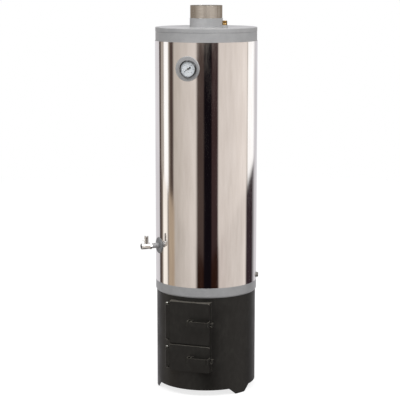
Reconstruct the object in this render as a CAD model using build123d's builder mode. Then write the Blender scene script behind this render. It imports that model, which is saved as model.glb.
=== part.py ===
from build123d import *
import math
import os

# Wood-fired water heater: a black sheet-steel firebox under an insulated tank in a polished jacket.
# Frame: millimetres, +Z up, the origin on the heater's axis at floor level.
# The doors face -Y. An azimuth is measured from -Y towards +X, seen from above.

# Driving sizes of the firebox
FIREBOX_R = 202.5
FIREBOX_WALL = 3.0
FIREBOX_TOP = 408.0
SKIRT_Z = 25.3
FOOT_AZIMUTHS = (-63.0, 63.0, 180.0)
FOOT_HALF_TOP = 59.0
FOOT_HALF_BOTTOM = 24.5
ASH_FLOOR_Z = 98.0
GRATE_Z = 206.0
GRATE_R = 150.0
GRATE_T = 8.0
SHEET = 3.0

# Driving sizes of the tank, its jacket and the flue
TANK_R = 180.0
TANK_WALL = 3.0
TANK_BOTTOM = 411.0
TANK_TOP = 1440.0
BAND_R = 206.5
BAND_TOP = 448.5
JACKET_R = 206.5
JACKET_T = 0.8
JACKET_TOP = 1424.0
CAP_R = 204.5
CAP_T = 1.5
LID_BOTTOM = 1461.0
LID_TOP = 1478.0
FLUE_R = 65.0
FLUE_PIPE_R = 64.4
COLLAR_R = 66.5
COLLAR_TOP = 1513.0
FLUE_TOP = 1564.0
SPIGOT_WALL = 1.0
SHOULDER_GAP = 0.5

# Driving sizes of the doors: left and right edges, frame face, panel face
DOOR_LEFT = -86.5
DOOR_RIGHT = 88.0
FIRE_DOOR_Z = (218.5, 390.0)
ASH_DOOR_Z = (104.0, 211.5)
DOOR_FACE_Y = -213.0
DOOR_DEPTH = 8.0
DOOR_T = 2.0
FRAME_LEFT = -83.0
FRAME_RIGHT = 87.0
FRAME_Y = -204.5
FRAME_BACK_Y = -165.0
FIRE_HOLE_Z = (226.0, 382.0)
ASH_HOLE_Z = (112.0, 203.0)
HOLE_LEFT = -72.0
HOLE_RIGHT = 76.0
HINGE_X = -94.5
HINGE_Y = -205.0
HINGE_TUBE_R = 8.0
HINGE_PIN_R = 4.0
HINGE_PLAY = 0.05
FIRE_TUBE_Z = (234.0, 375.5)
ASH_TUBE_Z = (119.5, 195.5)
LUG_T = 4.0
LUG_GAP = 1.0

# Driving sizes of the door latches
LEVER_LEFT = 0.0
LEVER_RIGHT = 92.0
LEVER_T = 3.0
LEVER_HEIGHT = 20.0
LEVER_FRONT_Y = -246.0
LEVER_BEND_R = 9.0
LEVER_GAP = 0.4
FIRE_LEVER_Z = 299.5
ASH_LEVER_Z = 149.0
PIVOT_X = 12.0
RIVET_R = 4.0
TONGUE_END_X = 97.5
TONGUE_LOW = 3.5
TONGUE_HIGH = 9.5
CATCH_OUT_X = 98.0

# Driving sizes of the thermometer
GAUGE_Z = 1322.5
ROSETTE_R = 49.0
ROSETTE_X = -5.5
ROSETTE_Y = -211.5
BEZEL_R = 34.0
BEZEL_FRONT_Y = -222.0
CASE_R = 30.5
DIAL_R = 29.3
DIAL_Y = -214.5
NEEDLE_ANGLE = 213.0
NEEDLE_REACH = 21.0
ARBOR_R = 1.2

# Driving sizes of the cold inlet with its safety valve
VALVE_AZIMUTH = -48.0
VALVE_Z = 600.0
PIPE_R = 10.65
NUT_START = 242.0
NUT_END = 248.0
VALVE_END = 284.0
VALVE_BODY_R = 12.5
BONNET_DISTANCE = 262.0
BONNET_R = 8.25
BONNET_BOTTOM = VALVE_Z + 12.5
KNOB_BOTTOM = 633.4
KNOB_TOP = 642.5
SPINDLE_R = 2.0
SPRING_COILS = 6

# Driving sizes of the other connections
OUTLET_AZIMUTH = 55.2
OUTLET_DISTANCE = 124.0
OUTLET_BOSS_R = 13.5
OUTLET_BOSS_TOP = 1488.5
OUTLET_THREAD_R = 10.48
OUTLET_NECK_R = 10.1
OUTLET_BORE_R = 8.0
OUTLET_TOP = 1506.0
DRAIN_AZIMUTH = 104.0
DRAIN_Z = 466.0
DRAIN_SOCKET_R = 13.0
DRAIN_HEAD_R = 10.0
DRAIN_END = 215.0


def radial_plane(azimuth, height, distance=0.0):
    """A plane whose normal points out of the heater at this azimuth, with its Y up."""
    angle = math.radians(azimuth)
    outwards = (math.sin(angle), -math.cos(angle), 0)
    across = (math.cos(angle), math.sin(angle), 0)
    origin = (distance * outwards[0], distance * outwards[1], height)
    return Plane(origin=origin, x_dir=across, z_dir=outwards)


def save(builder, name):
    """Labels one finished piece and writes its file."""
    builder.part.label = name
    export_step(builder.part, f"parts/{name}.step")


def ring(outer, inner, bottom, top):
    """An upright tube round the heater's axis."""
    with BuildPart() as tube:
        with BuildSketch(Plane.XY.offset(bottom)):
            Circle(outer)
            Circle(inner, mode=Mode.SUBTRACT)
        extrude(amount=top - bottom)
    return tube


def pipe(plane, outer, inner, start, end):
    """A tube along the normal of a plane, from start to end beyond it."""
    with BuildPart() as tube:
        with BuildSketch(plane.offset(start)):
            Circle(outer)
            if inner > 0:
                Circle(inner, mode=Mode.SUBTRACT)
        extrude(amount=end - start)
    return tube


os.makedirs("parts", exist_ok=True)

gauge_plane = Plane(origin=(0, 0, GAUGE_Z), x_dir=(1, 0, 0), z_dir=(0, -1, 0))
valve_plane = radial_plane(VALVE_AZIMUTH, VALVE_Z)
drain_plane = radial_plane(DRAIN_AZIMUTH, DRAIN_Z)
outlet_x = OUTLET_DISTANCE * math.sin(math.radians(OUTLET_AZIMUTH))
outlet_y = -OUTLET_DISTANCE * math.cos(math.radians(OUTLET_AZIMUTH))
frame_middle_x = (FRAME_LEFT + FRAME_RIGHT) / 2
frame_width = FRAME_RIGHT - FRAME_LEFT
frame_low = ASH_DOOR_Z[0]
frame_high = FIRE_DOOR_Z[1]
hole_middle_x = (HOLE_LEFT + HOLE_RIGHT) / 2
hole_width = HOLE_RIGHT - HOLE_LEFT

# The firebox shell: its three feet are cut from the same sheet as its wall
with BuildPart() as firebox_shell:
    for azimuth in FOOT_AZIMUTHS:
        with BuildSketch(radial_plane(azimuth, 0, FIREBOX_R * 0.6)):
            with BuildLine():
                Polyline(
                    (-FOOT_HALF_BOTTOM, 0),
                    (FOOT_HALF_BOTTOM, 0),
                    (FOOT_HALF_TOP, SKIRT_Z + SHEET),
                    (-FOOT_HALF_TOP, SKIRT_Z + SHEET),
                    close=True,
                )
            make_face()
        extrude(amount=FIREBOX_R * 0.5)
    with BuildSketch():
        Circle(FIREBOX_R)
        Circle(FIREBOX_R - FIREBOX_WALL, mode=Mode.SUBTRACT)
    extrude(amount=SKIRT_Z + SHEET, mode=Mode.INTERSECT)
    with BuildSketch(Plane.XY.offset(SKIRT_Z)):
        Circle(FIREBOX_R)
        Circle(FIREBOX_R - FIREBOX_WALL, mode=Mode.SUBTRACT)
    extrude(amount=FIREBOX_TOP - SKIRT_Z)
    with BuildSketch(Plane.XZ.offset(FIREBOX_R * 0.5)):
        with Locations((frame_middle_x, (frame_low + frame_high) / 2)):
            Rectangle(frame_width, frame_high - frame_low)
    extrude(amount=FIREBOX_R, mode=Mode.SUBTRACT)
save(firebox_shell, "firebox_shell")

# The floor under the ashes, welded into the shell
firebox_inner = FIREBOX_R - FIREBOX_WALL
with BuildPart() as firebox_floor:
    with BuildSketch(Plane.XY.offset(ASH_FLOOR_Z)):
        Circle(firebox_inner)
    extrude(amount=SHEET)
save(firebox_floor, "firebox_floor")

# The door frame stands out of the round shell like a shallow box with two holes
with BuildPart() as door_frame:
    with BuildSketch(Plane.XZ.offset(-FRAME_BACK_Y)):
        with Locations((frame_middle_x, (frame_low + frame_high) / 2)):
            Rectangle(frame_width, frame_high - frame_low)
            Rectangle(frame_width - 2 * SHEET, frame_high - frame_low - 2 * SHEET, mode=Mode.SUBTRACT)
    extrude(amount=FRAME_BACK_Y - FRAME_Y)
    with BuildSketch(Plane.XZ.offset(-FRAME_Y - SHEET)):
        with Locations((frame_middle_x, (frame_low + frame_high) / 2)):
            Rectangle(frame_width, frame_high - frame_low)
        for low, high in (FIRE_HOLE_Z, ASH_HOLE_Z):
            with Locations((hole_middle_x, (low + high) / 2)):
                RectangleRounded(hole_width, high - low, 6, mode=Mode.SUBTRACT)
    extrude(amount=SHEET)
    with BuildSketch(Plane.XZ.offset(-FRAME_BACK_Y)):
        with Locations((frame_middle_x, (FIRE_HOLE_Z[0] + ASH_HOLE_Z[1]) / 2)):
            Rectangle(frame_width, SHEET)
    extrude(amount=FRAME_BACK_Y - FRAME_Y)
save(door_frame, "door_frame")

# Four lugs on the frame's left cheek carry the two hinge pins
lug_heights = []
for low, high in (FIRE_TUBE_Z, ASH_TUBE_Z):
    lug_heights.append(low - LUG_GAP - LUG_T)
    lug_heights.append(high + LUG_GAP)
with BuildPart() as hinge_lugs:
    for height in lug_heights:
        with BuildSketch(Plane.XY.offset(height)):
            with Locations((HINGE_X, HINGE_Y)):
                Circle(HINGE_TUBE_R)
            with Locations(((HINGE_X + FRAME_LEFT) / 2, FRAME_Y + 8)):
                Rectangle(FRAME_LEFT - HINGE_X, 16)
            with Locations((HINGE_X, HINGE_Y)):
                Circle(HINGE_PIN_R, mode=Mode.SUBTRACT)
        extrude(amount=LUG_T)
save(hinge_lugs, "hinge_lugs")

# One pin for each door, dropped through its lugs, with a low round head
with BuildPart() as hinge_pins:
    for low, high in (FIRE_TUBE_Z, ASH_TUBE_Z):
        head_z = high + LUG_GAP + LUG_T
        pin_low = low - LUG_GAP - LUG_T - 2
        with BuildSketch(Plane.XY.offset(pin_low)):
            with Locations((HINGE_X, HINGE_Y)):
                Circle(HINGE_PIN_R)
        extrude(amount=head_z - pin_low)
        with BuildSketch(Plane.XY.offset(head_z)):
            with Locations((HINGE_X, HINGE_Y)):
                Circle(HINGE_PIN_R + 2)
        extrude(amount=3, taper=25)
save(hinge_pins, "hinge_pins")


def door_pan(low, high, tube_z):
    """A folded door: a flat face with rounded corners, turned edges and notches for the lugs."""
    middle = ((DOOR_LEFT + DOOR_RIGHT) / 2, (low + high) / 2)
    width = DOOR_RIGHT - DOOR_LEFT
    with BuildPart() as pan:
        with BuildSketch(Plane.XZ.offset(-DOOR_FACE_Y - DOOR_DEPTH)):
            with Locations(middle):
                RectangleRounded(width, high - low, 8)
        extrude(amount=DOOR_DEPTH)
        fillet(pan.faces().sort_by(Axis.Y)[0].edges(), 1.4)
        with BuildSketch(Plane.XZ.offset(-DOOR_FACE_Y - DOOR_DEPTH)):
            with Locations(middle):
                RectangleRounded(width - 2 * DOOR_T, high - low - 2 * DOOR_T, 6)
        extrude(amount=DOOR_DEPTH - DOOR_T, mode=Mode.SUBTRACT)
        notch_right = FRAME_LEFT + 1.5
        with BuildSketch(Plane.XZ.offset(-DOOR_FACE_Y - DOOR_DEPTH)):
            for start, end in ((tube_z[1] + 0.2, high + 1), (low - 1, tube_z[0] - 0.2)):
                with Locations(((DOOR_LEFT - 1 + notch_right) / 2, (start + end) / 2)):
                    Rectangle(notch_right - DOOR_LEFT + 1, end - start)
        extrude(amount=DOOR_DEPTH + 1, mode=Mode.SUBTRACT)
    return pan


def hinge_tube(tube_z):
    """The long hinge tube welded to a door's left edge, with broken outer edges."""
    with BuildPart() as tube:
        with BuildSketch(Plane.XY.offset(tube_z[0])):
            with Locations((HINGE_X, HINGE_Y)):
                Circle(HINGE_TUBE_R)
        extrude(amount=tube_z[1] - tube_z[0])
        chamfer(tube.edges(), 0.8)
        with BuildSketch(Plane.XY.offset(tube_z[0])):
            with Locations((HINGE_X, HINGE_Y)):
                Circle(HINGE_PIN_R + HINGE_PLAY)
        extrude(amount=tube_z[1] - tube_z[0], mode=Mode.SUBTRACT)
    return tube


def latch_lever(low):
    """A flat strip bent into a handle: pivot foot on the left, catch tongue on the right."""
    foot_y = DOOR_FACE_Y - LEVER_GAP
    leg_y = foot_y - 2
    with BuildPart() as lever:
        with BuildSketch(Plane.XY.offset(low)):
            with BuildLine():
                outline = FilletPolyline(
                    (PIVOT_X + 9, foot_y - LEVER_T / 2),
                    (LEVER_LEFT + LEVER_T / 2, foot_y - LEVER_T / 2),
                    (LEVER_LEFT + LEVER_T / 2, LEVER_FRONT_Y + LEVER_T / 2),
                    (LEVER_RIGHT - LEVER_T / 2, LEVER_FRONT_Y + LEVER_T / 2),
                    (LEVER_RIGHT - LEVER_T / 2, leg_y),
                    radius=(2.5, LEVER_BEND_R, LEVER_BEND_R),
                )
                offset(outline, amount=LEVER_T / 2, kind=Kind.INTERSECTION, side=Side.BOTH)
            make_face()
        extrude(amount=LEVER_HEIGHT)
        with BuildSketch(Plane.XY.offset(low + TONGUE_LOW)):
            with Locations(((LEVER_RIGHT - LEVER_T + TONGUE_END_X) / 2, leg_y)):
                Rectangle(TONGUE_END_X - LEVER_RIGHT + LEVER_T, LEVER_T)
        extrude(amount=TONGUE_HIGH - TONGUE_LOW)
        with BuildSketch(Plane.XZ.offset(-foot_y - 4)):
            with Locations((PIVOT_X, low + LEVER_HEIGHT / 2)):
                Circle(RIVET_R + HINGE_PLAY)
        extrude(amount=8, mode=Mode.SUBTRACT)
    return lever


def latch_rivet(low):
    """The shouldered rivet that a latch lever turns on, riveted through the door's face."""
    middle = low + LEVER_HEIGHT / 2
    washer_y = DOOR_FACE_Y - LEVER_GAP - LEVER_T - 0.4
    with BuildPart() as rivet:
        with BuildSketch(Plane.XZ.offset(-DOOR_FACE_Y - DOOR_T)):
            with Locations((PIVOT_X, middle)):
                Circle(RIVET_R)
        extrude(amount=DOOR_FACE_Y + DOOR_T - washer_y)
        with BuildSketch(Plane.XZ.offset(-washer_y)):
            with Locations((PIVOT_X, middle)):
                Circle(RIVET_R + 2.5)
        extrude(amount=3)
        fillet(rivet.faces().sort_by(Axis.Y)[0].edges(), 2)
        with BuildSketch(Plane.XZ.offset(-DOOR_FACE_Y - DOOR_T - 1.5)):
            with Locations((PIVOT_X, middle)):
                Circle(RIVET_R + 2)
        extrude(amount=1.5)
    return rivet


fire_door_pan = door_pan(FIRE_DOOR_Z[0], FIRE_DOOR_Z[1], FIRE_TUBE_Z)
with BuildPart() as fire_door_face:
    add(fire_door_pan.part)
    with BuildSketch(Plane.XZ.offset(-DOOR_FACE_Y - DOOR_DEPTH)):
        with Locations((PIVOT_X, FIRE_LEVER_Z + LEVER_HEIGHT / 2)):
            Circle(RIVET_R)
    extrude(amount=DOOR_DEPTH, mode=Mode.SUBTRACT)
save(fire_door_face, "fire_door_pan")

ash_door_pan = door_pan(ASH_DOOR_Z[0], ASH_DOOR_Z[1], ASH_TUBE_Z)
with BuildPart() as ash_door_face:
    add(ash_door_pan.part)
    with BuildSketch(Plane.XZ.offset(-DOOR_FACE_Y - DOOR_DEPTH)):
        with Locations((PIVOT_X, ASH_LEVER_Z + LEVER_HEIGHT / 2)):
            Circle(RIVET_R)
    extrude(amount=DOOR_DEPTH, mode=Mode.SUBTRACT)
save(ash_door_face, "ash_door_pan")

save(hinge_tube(FIRE_TUBE_Z), "fire_door_hinge_tube")
save(hinge_tube(ASH_TUBE_Z), "ash_door_hinge_tube")
save(latch_lever(FIRE_LEVER_Z), "fire_latch_lever")
save(latch_lever(ASH_LEVER_Z), "ash_latch_lever")
save(latch_rivet(FIRE_LEVER_Z), "fire_latch_rivet")
save(latch_rivet(ASH_LEVER_Z), "ash_latch_rivet")

# A steel heat shield hangs behind the fire door's face on four spacer studs
BAFFLE_X = (-66.0, 70.0)
BAFFLE_Z = (FIRE_HOLE_Z[0] + 5, FIRE_HOLE_Z[1] - 5)
BAFFLE_FRONT_Y = -198.0
baffle_middle = ((BAFFLE_X[0] + BAFFLE_X[1]) / 2, (BAFFLE_Z[0] + BAFFLE_Z[1]) / 2)
baffle_width = BAFFLE_X[1] - BAFFLE_X[0]
baffle_height = BAFFLE_Z[1] - BAFFLE_Z[0]
stud_inset = 18.0
with BuildPart() as fire_door_baffle:
    with BuildSketch(Plane.XZ.offset(-BAFFLE_FRONT_Y - DOOR_T)):
        with Locations(baffle_middle):
            RectangleRounded(baffle_width, baffle_height, 5)
    extrude(amount=DOOR_T)
save(fire_door_baffle, "fire_door_baffle")

with BuildPart() as baffle_spacers:
    with BuildSketch(Plane.XZ.offset(-BAFFLE_FRONT_Y)):
        with Locations(baffle_middle):
            with GridLocations(baffle_width - 2 * stud_inset, baffle_height - 2 * stud_inset, 2, 2):
                Circle(5)
    extrude(amount=BAFFLE_FRONT_Y - DOOR_FACE_Y - DOOR_T)
save(baffle_spacers, "baffle_spacers")

# A hooked catch on the frame's right cheek for each latch tongue
with BuildPart() as latch_catches:
    for low in (FIRE_LEVER_Z, ASH_LEVER_Z):
        shelf_top = low + TONGUE_LOW - 6.5
        lip_top = low + TONGUE_LOW - 0.7
        tongue_front = DOOR_FACE_Y - LEVER_GAP - 2 - LEVER_T / 2
        lip_back = tongue_front - 0.8
        with BuildSketch(Plane.YZ.offset(LEVER_RIGHT + 1.0)):
            with BuildLine():
                Polyline(
                    (lip_back - 2.5, shelf_top - 3),
                    (FRAME_Y + 20, shelf_top - 3),
                    (FRAME_Y + 20, shelf_top + 12),
                    (FRAME_Y + 4, shelf_top + 12),
                    (FRAME_Y, shelf_top),
                    (lip_back, shelf_top),
                    (lip_back, lip_top),
                    (lip_back - 2.5, lip_top - 2),
                    close=True,
                )
            make_face()
        extrude(amount=CATCH_OUT_X - LEVER_RIGHT - 1.0)
        with BuildSketch(Plane.YZ.offset(FRAME_RIGHT)):
            with Locations((FRAME_Y + 12, shelf_top + 4.5)):
                Rectangle(16, 15)
        extrude(amount=LEVER_RIGHT + 1.0 - FRAME_RIGHT)
save(latch_catches, "latch_catches")

# The loose cast grate between the two chambers, and the ring that it rests on
with BuildPart() as grate:
    with BuildSketch(Plane.XY.offset(GRATE_Z)):
        Circle(GRATE_R)
        for row in range(-4, 5):
            offset_y = row * 28.0
            half = math.sqrt((GRATE_R - 14) ** 2 - offset_y ** 2)
            with Locations((-half / 2 - 3, offset_y), (half / 2 + 3, offset_y)):
                SlotOverall(half - 8, 13, mode=Mode.SUBTRACT)
    extrude(amount=GRATE_T)
save(grate, "grate")
with BuildPart() as grate_ring:
    add(ring(firebox_inner, GRATE_R - 12, GRATE_Z - SHEET, GRATE_Z).part)
    with BuildSketch(Plane.XY.offset(GRATE_Z - SHEET)):
        with Locations((frame_middle_x, -FIREBOX_R)):
            Rectangle(frame_width, 2 * (FIREBOX_R + FRAME_BACK_Y))
    extrude(amount=SHEET, mode=Mode.SUBTRACT)
save(grate_ring, "grate_ring")

# The seat between the firebox and the tank
save(ring(FIREBOX_R, TANK_R - 30, FIREBOX_TOP, TANK_BOTTOM), "tank_seat")

# The water tank: shell, two heads and the flue that crosses it
HEAD_RISE = 14.0
tank_inner = TANK_R - TANK_WALL
with BuildPart() as tank_shell:
    add(ring(TANK_R, tank_inner, TANK_BOTTOM + TANK_WALL, TANK_TOP).part)
    for plane, radius in ((valve_plane, PIPE_R), (drain_plane, DRAIN_SOCKET_R), (gauge_plane, 7.0)):
        add(pipe(plane, radius, 0, TANK_R * 0.8, TANK_R * 1.1).part, mode=Mode.SUBTRACT)
save(tank_shell, "tank_shell")
save(ring(TANK_R, FLUE_PIPE_R, TANK_BOTTOM, TANK_BOTTOM + TANK_WALL), "tank_bottom_head")

with BuildPart() as tank_top_head:
    with BuildSketch(Plane.XZ):
        with BuildLine():
            Line((FLUE_PIPE_R, TANK_TOP), (FLUE_PIPE_R, TANK_TOP + HEAD_RISE + TANK_WALL))
            Line((FLUE_PIPE_R, TANK_TOP + HEAD_RISE + TANK_WALL), (TANK_R, TANK_TOP + TANK_WALL))
            Line((TANK_R, TANK_TOP + TANK_WALL), (TANK_R, TANK_TOP))
            Line((TANK_R, TANK_TOP), (FLUE_PIPE_R + TANK_WALL, TANK_TOP + HEAD_RISE))
            Line((FLUE_PIPE_R + TANK_WALL, TANK_TOP + HEAD_RISE), (FLUE_PIPE_R + TANK_WALL, TANK_TOP))
            Line((FLUE_PIPE_R + TANK_WALL, TANK_TOP), (FLUE_PIPE_R, TANK_TOP))
        make_face()
    revolve(axis=Axis.Z)
    with BuildSketch(Plane.XY.offset(TANK_TOP - 10)):
        with Locations((outlet_x, outlet_y)):
            Circle(OUTLET_BOSS_R)
    extrude(amount=40, mode=Mode.SUBTRACT)
save(tank_top_head, "tank_top_head")
save(ring(FLUE_PIPE_R, FLUE_PIPE_R - TANK_WALL, TANK_BOTTOM, TANK_TOP), "flue_tube")
with BuildPart() as flue_spigot:
    add(ring(FLUE_PIPE_R, FLUE_PIPE_R - SPIGOT_WALL, TANK_TOP, COLLAR_TOP + SHOULDER_GAP).part)
    add(ring(FLUE_R, FLUE_R - SPIGOT_WALL, COLLAR_TOP + SHOULDER_GAP, FLUE_TOP).part)
save(flue_spigot, "flue_spigot")

# Foam insulation between the tank and the jacket, with tunnels for the connections
jacket_inner = JACKET_R - JACKET_T
with BuildPart() as insulation:
    add(ring(jacket_inner, TANK_R, TANK_BOTTOM + TANK_WALL + 2, TANK_TOP).part)
    add(ring(jacket_inner + 1, CAP_R - CAP_T, JACKET_TOP - 12, TANK_TOP + 1).part, mode=Mode.SUBTRACT)
    add(ring(jacket_inner + 1, BAND_R - CAP_T, 0, BAND_TOP).part, mode=Mode.SUBTRACT)
    for plane, radius in ((valve_plane, PIPE_R), (drain_plane, DRAIN_SOCKET_R), (gauge_plane, CASE_R)):
        add(pipe(plane, radius, 0, TANK_R * 0.8, JACKET_R * 1.1).part, mode=Mode.SUBTRACT)
save(insulation, "insulation")

# The polished jacket with its rolled top bead, and the folded seam up its back
with BuildPart() as jacket:
    add(ring(JACKET_R, jacket_inner, BAND_TOP, JACKET_TOP - 4).part)
    with BuildSketch(Plane.XZ):
        with Locations((CAP_R + 1.5, JACKET_TOP - 4)):
            Ellipse(1.4, 4.0)
    revolve(axis=Axis.Z)
    for plane, radius in ((valve_plane, PIPE_R), (drain_plane, DRAIN_SOCKET_R), (gauge_plane, CASE_R)):
        add(pipe(plane, radius, 0, JACKET_R * 0.8, JACKET_R * 1.1).part, mode=Mode.SUBTRACT)
save(jacket, "jacket")

SEAM_WIDTH = 12.0
SEAM_T = 1.6
with BuildPart() as jacket_seam:
    with BuildSketch(Plane.XY.offset(BAND_TOP)):
        with Locations((0, JACKET_R)):
            Rectangle(SEAM_WIDTH, 2 * SEAM_T)
        Circle(JACKET_R, mode=Mode.SUBTRACT)
    extrude(amount=JACKET_TOP - 9 - BAND_TOP)
save(jacket_seam, "jacket_seam")

# The painted bands that close the jacket below and above, and the lid
LIP_HEIGHT = 5.0
with BuildPart() as bottom_band:
    with BuildSketch(Plane.XZ):
        with BuildLine():
            Polyline(
                (BAND_R - CAP_T, BAND_TOP),
                (BAND_R, BAND_TOP),
                (BAND_R, FIREBOX_TOP + LIP_HEIGHT),
                (FIREBOX_R + 1, FIREBOX_TOP),
                (FIREBOX_R, FIREBOX_TOP),
                (FIREBOX_R, FIREBOX_TOP + 1),
                (BAND_R - CAP_T, FIREBOX_TOP + LIP_HEIGHT + 0.6),
                close=True,
            )
        make_face()
    revolve(axis=Axis.Z)
save(bottom_band, "bottom_band")

save(ring(CAP_R, CAP_R - CAP_T, JACKET_TOP - 12, LID_BOTTOM), "top_band")

with BuildPart() as top_lid:
    with BuildSketch(Plane.XZ):
        with BuildLine():
            Polyline(
                (COLLAR_R, LID_TOP),
                (CAP_R - 1, LID_TOP),
                (CAP_R + 0.6, LID_TOP - 1.6),
                (CAP_R + 0.6, LID_BOTTOM),
                (CAP_R - CAP_T, LID_BOTTOM),
                (CAP_R - CAP_T, LID_TOP - CAP_T),
                (COLLAR_R, LID_TOP - CAP_T),
                close=True,
            )
        make_face()
    revolve(axis=Axis.Z)
    with BuildSketch(Plane.XY.offset(LID_TOP - 10)):
        with Locations((outlet_x, outlet_y)):
            Circle(OUTLET_BOSS_R)
    extrude(amount=20, mode=Mode.SUBTRACT)
save(top_lid, "top_lid")
save(ring(COLLAR_R, FLUE_PIPE_R, LID_BOTTOM, COLLAR_TOP), "flue_collar")

# The hot-water outlet beside the flue
with BuildPart() as hot_outlet_boss:
    with BuildSketch(Plane.XY.offset(TANK_TOP - 4)):
        with Locations((outlet_x, outlet_y)):
            Circle(OUTLET_BOSS_R)
            Circle(OUTLET_NECK_R, mode=Mode.SUBTRACT)
    extrude(amount=OUTLET_BOSS_TOP - TANK_TOP + 4)
save(hot_outlet_boss, "hot_outlet_boss")

OUTLET_SHOULDER = OUTLET_BOSS_TOP + SHOULDER_GAP
with BuildPart() as hot_outlet_nipple:
    with BuildSketch(Plane.XY.offset(OUTLET_BOSS_TOP - 14)):
        with Locations((outlet_x, outlet_y)):
            Circle(OUTLET_NECK_R)
            Circle(OUTLET_BORE_R, mode=Mode.SUBTRACT)
    extrude(amount=OUTLET_SHOULDER - OUTLET_BOSS_TOP + 14)
    with BuildSketch(Plane.XY.offset(OUTLET_SHOULDER)):
        with Locations((outlet_x, outlet_y)):
            Circle(OUTLET_THREAD_R)
            Circle(OUTLET_BORE_R, mode=Mode.SUBTRACT)
    extrude(amount=OUTLET_TOP - OUTLET_SHOULDER)
save(hot_outlet_nipple, "hot_outlet_nipple")

# The drain socket low on the right and the hexagon plug that closes it
DRAIN_FACE = JACKET_R + 1.5
save(pipe(drain_plane, DRAIN_SOCKET_R, 8.0, tank_inner, DRAIN_FACE), "drain_socket")
with BuildPart() as drain_plug:
    with BuildSketch(drain_plane.offset(DRAIN_FACE)):
        RegularPolygon(DRAIN_HEAD_R, 6)
    extrude(amount=DRAIN_END - DRAIN_FACE)
    chamfer(drain_plug.faces().sort_by(Axis(drain_plane.origin, drain_plane.z_dir))[-1].edges(), 0.8)
    with BuildSketch(drain_plane.offset(DRAIN_FACE - 14)):
        Circle(8.0)
    extrude(amount=14)
save(drain_plug, "drain_plug")

# The thermometer: a painted rosette covers the hole in the jacket round its case
with BuildPart() as gauge_rosette:
    with BuildSketch(gauge_plane.offset(JACKET_R * 0.9)):
        with Locations((ROSETTE_X, 0)):
            Circle(ROSETTE_R)
        Circle(CASE_R, mode=Mode.SUBTRACT)
    extrude(amount=-ROSETTE_Y - JACKET_R * 0.9)
    rim_edges = gauge_rosette.faces().sort_by(Axis.Y)[0].edges().sort_by(SortBy.LENGTH)
    fillet(rim_edges[-1], 1.6)
    with BuildSketch(gauge_plane.offset(JACKET_R * 0.9)):
        with Locations((ROSETTE_X, 0)):
            Circle(ROSETTE_R - CAP_T)
        Circle(CASE_R + 1.5, mode=Mode.SUBTRACT)
    extrude(amount=-ROSETTE_Y - JACKET_R * 0.9 - CAP_T, mode=Mode.SUBTRACT)
    with BuildSketch(Plane.XY.offset(GAUGE_Z - ROSETTE_R - 1)):
        Circle(JACKET_R)
    extrude(amount=2 * ROSETTE_R + 2, mode=Mode.SUBTRACT)
save(gauge_rosette, "gauge_rosette")

CASE_BACK = 190.0
with BuildPart() as gauge_case:
    with BuildSketch(gauge_plane.offset(CASE_BACK)):
        Circle(CASE_R)
    extrude(amount=-DIAL_Y - CASE_BACK - 1)
    with BuildSketch(gauge_plane.offset(CASE_BACK + CAP_T)):
        Circle(CASE_R - CAP_T)
    extrude(amount=-DIAL_Y - CASE_BACK - 1 - CAP_T, mode=Mode.SUBTRACT)
    with BuildSketch(gauge_plane.offset(CASE_BACK)):
        Circle(4.0)
    extrude(amount=CAP_T, mode=Mode.SUBTRACT)
save(gauge_case, "gauge_case")

with BuildPart() as gauge_dial:
    with BuildSketch(gauge_plane.offset(-DIAL_Y - 1)):
        Circle(CASE_R)
        Circle(ARBOR_R, mode=Mode.SUBTRACT)
    extrude(amount=1)
save(gauge_dial, "gauge_dial")

GLASS_T = 1.5
with BuildPart() as gauge_bezel:
    with BuildSketch(Plane.YZ):
        with BuildLine():
            Polyline(
                (ROSETTE_Y, GAUGE_Z + CASE_R),
                (ROSETTE_Y, GAUGE_Z + BEZEL_R),
                (BEZEL_FRONT_Y + 2, GAUGE_Z + BEZEL_R),
            )
            RadiusArc(
                (BEZEL_FRONT_Y + 2, GAUGE_Z + BEZEL_R),
                (BEZEL_FRONT_Y, GAUGE_Z + BEZEL_R - 2),
                -2,
            )
            Polyline(
                (BEZEL_FRONT_Y, GAUGE_Z + BEZEL_R - 2),
                (BEZEL_FRONT_Y + 2.0, GAUGE_Z + DIAL_R),
                (DIAL_Y, GAUGE_Z + DIAL_R),
                (DIAL_Y, GAUGE_Z + CASE_R),
                (ROSETTE_Y, GAUGE_Z + CASE_R),
            )
        make_face()
    revolve(axis=Axis((0, 0, GAUGE_Z), (0, 1, 0)))
save(gauge_bezel, "gauge_bezel")
save(pipe(gauge_plane, DIAL_R, 0, -BEZEL_FRONT_Y - 3.5, -BEZEL_FRONT_Y - 3.5 + GLASS_T), "gauge_glass")

# The thermometer's needle, its tail weight, and the arbor that it turns with
needle_plane = gauge_plane.offset(-DIAL_Y + 0.8)
needle_turn = Location((0, 0, 0), (0, 0, NEEDLE_ANGLE))
with BuildPart() as gauge_needle:
    with BuildSketch(needle_plane * needle_turn):
        with BuildLine():
            Polyline((0, 0.9), (NEEDLE_REACH, 0.2), (NEEDLE_REACH, -0.2), (0, -0.9), (-6, -0.7), (-6, 0.7), close=True)
        make_face()
        with Locations((-8.5, 0)):
            Ellipse(4.0, 2.2)
        Circle(2.6)
        Circle(ARBOR_R + HINGE_PLAY, mode=Mode.SUBTRACT)
    extrude(amount=0.6)
save(gauge_needle, "gauge_needle")
save(pipe(gauge_plane, ARBOR_R, 0, CASE_BACK + CAP_T, -DIAL_Y + 2.2), "gauge_arbor")

# The thermometer's probe runs in a pocket welded through the tank wall
save(pipe(gauge_plane, 7.0, 4.0, tank_inner - 60, CASE_BACK), "probe_pocket")
save(pipe(gauge_plane, 4.0, 0, tank_inner - 56, CASE_BACK + CAP_T), "gauge_probe")

# The cold inlet pipe, its rosette and the union collar of the safety valve
save(pipe(valve_plane, PIPE_R, 8.0, tank_inner - 20, NUT_START), "inlet_pipe")

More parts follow.
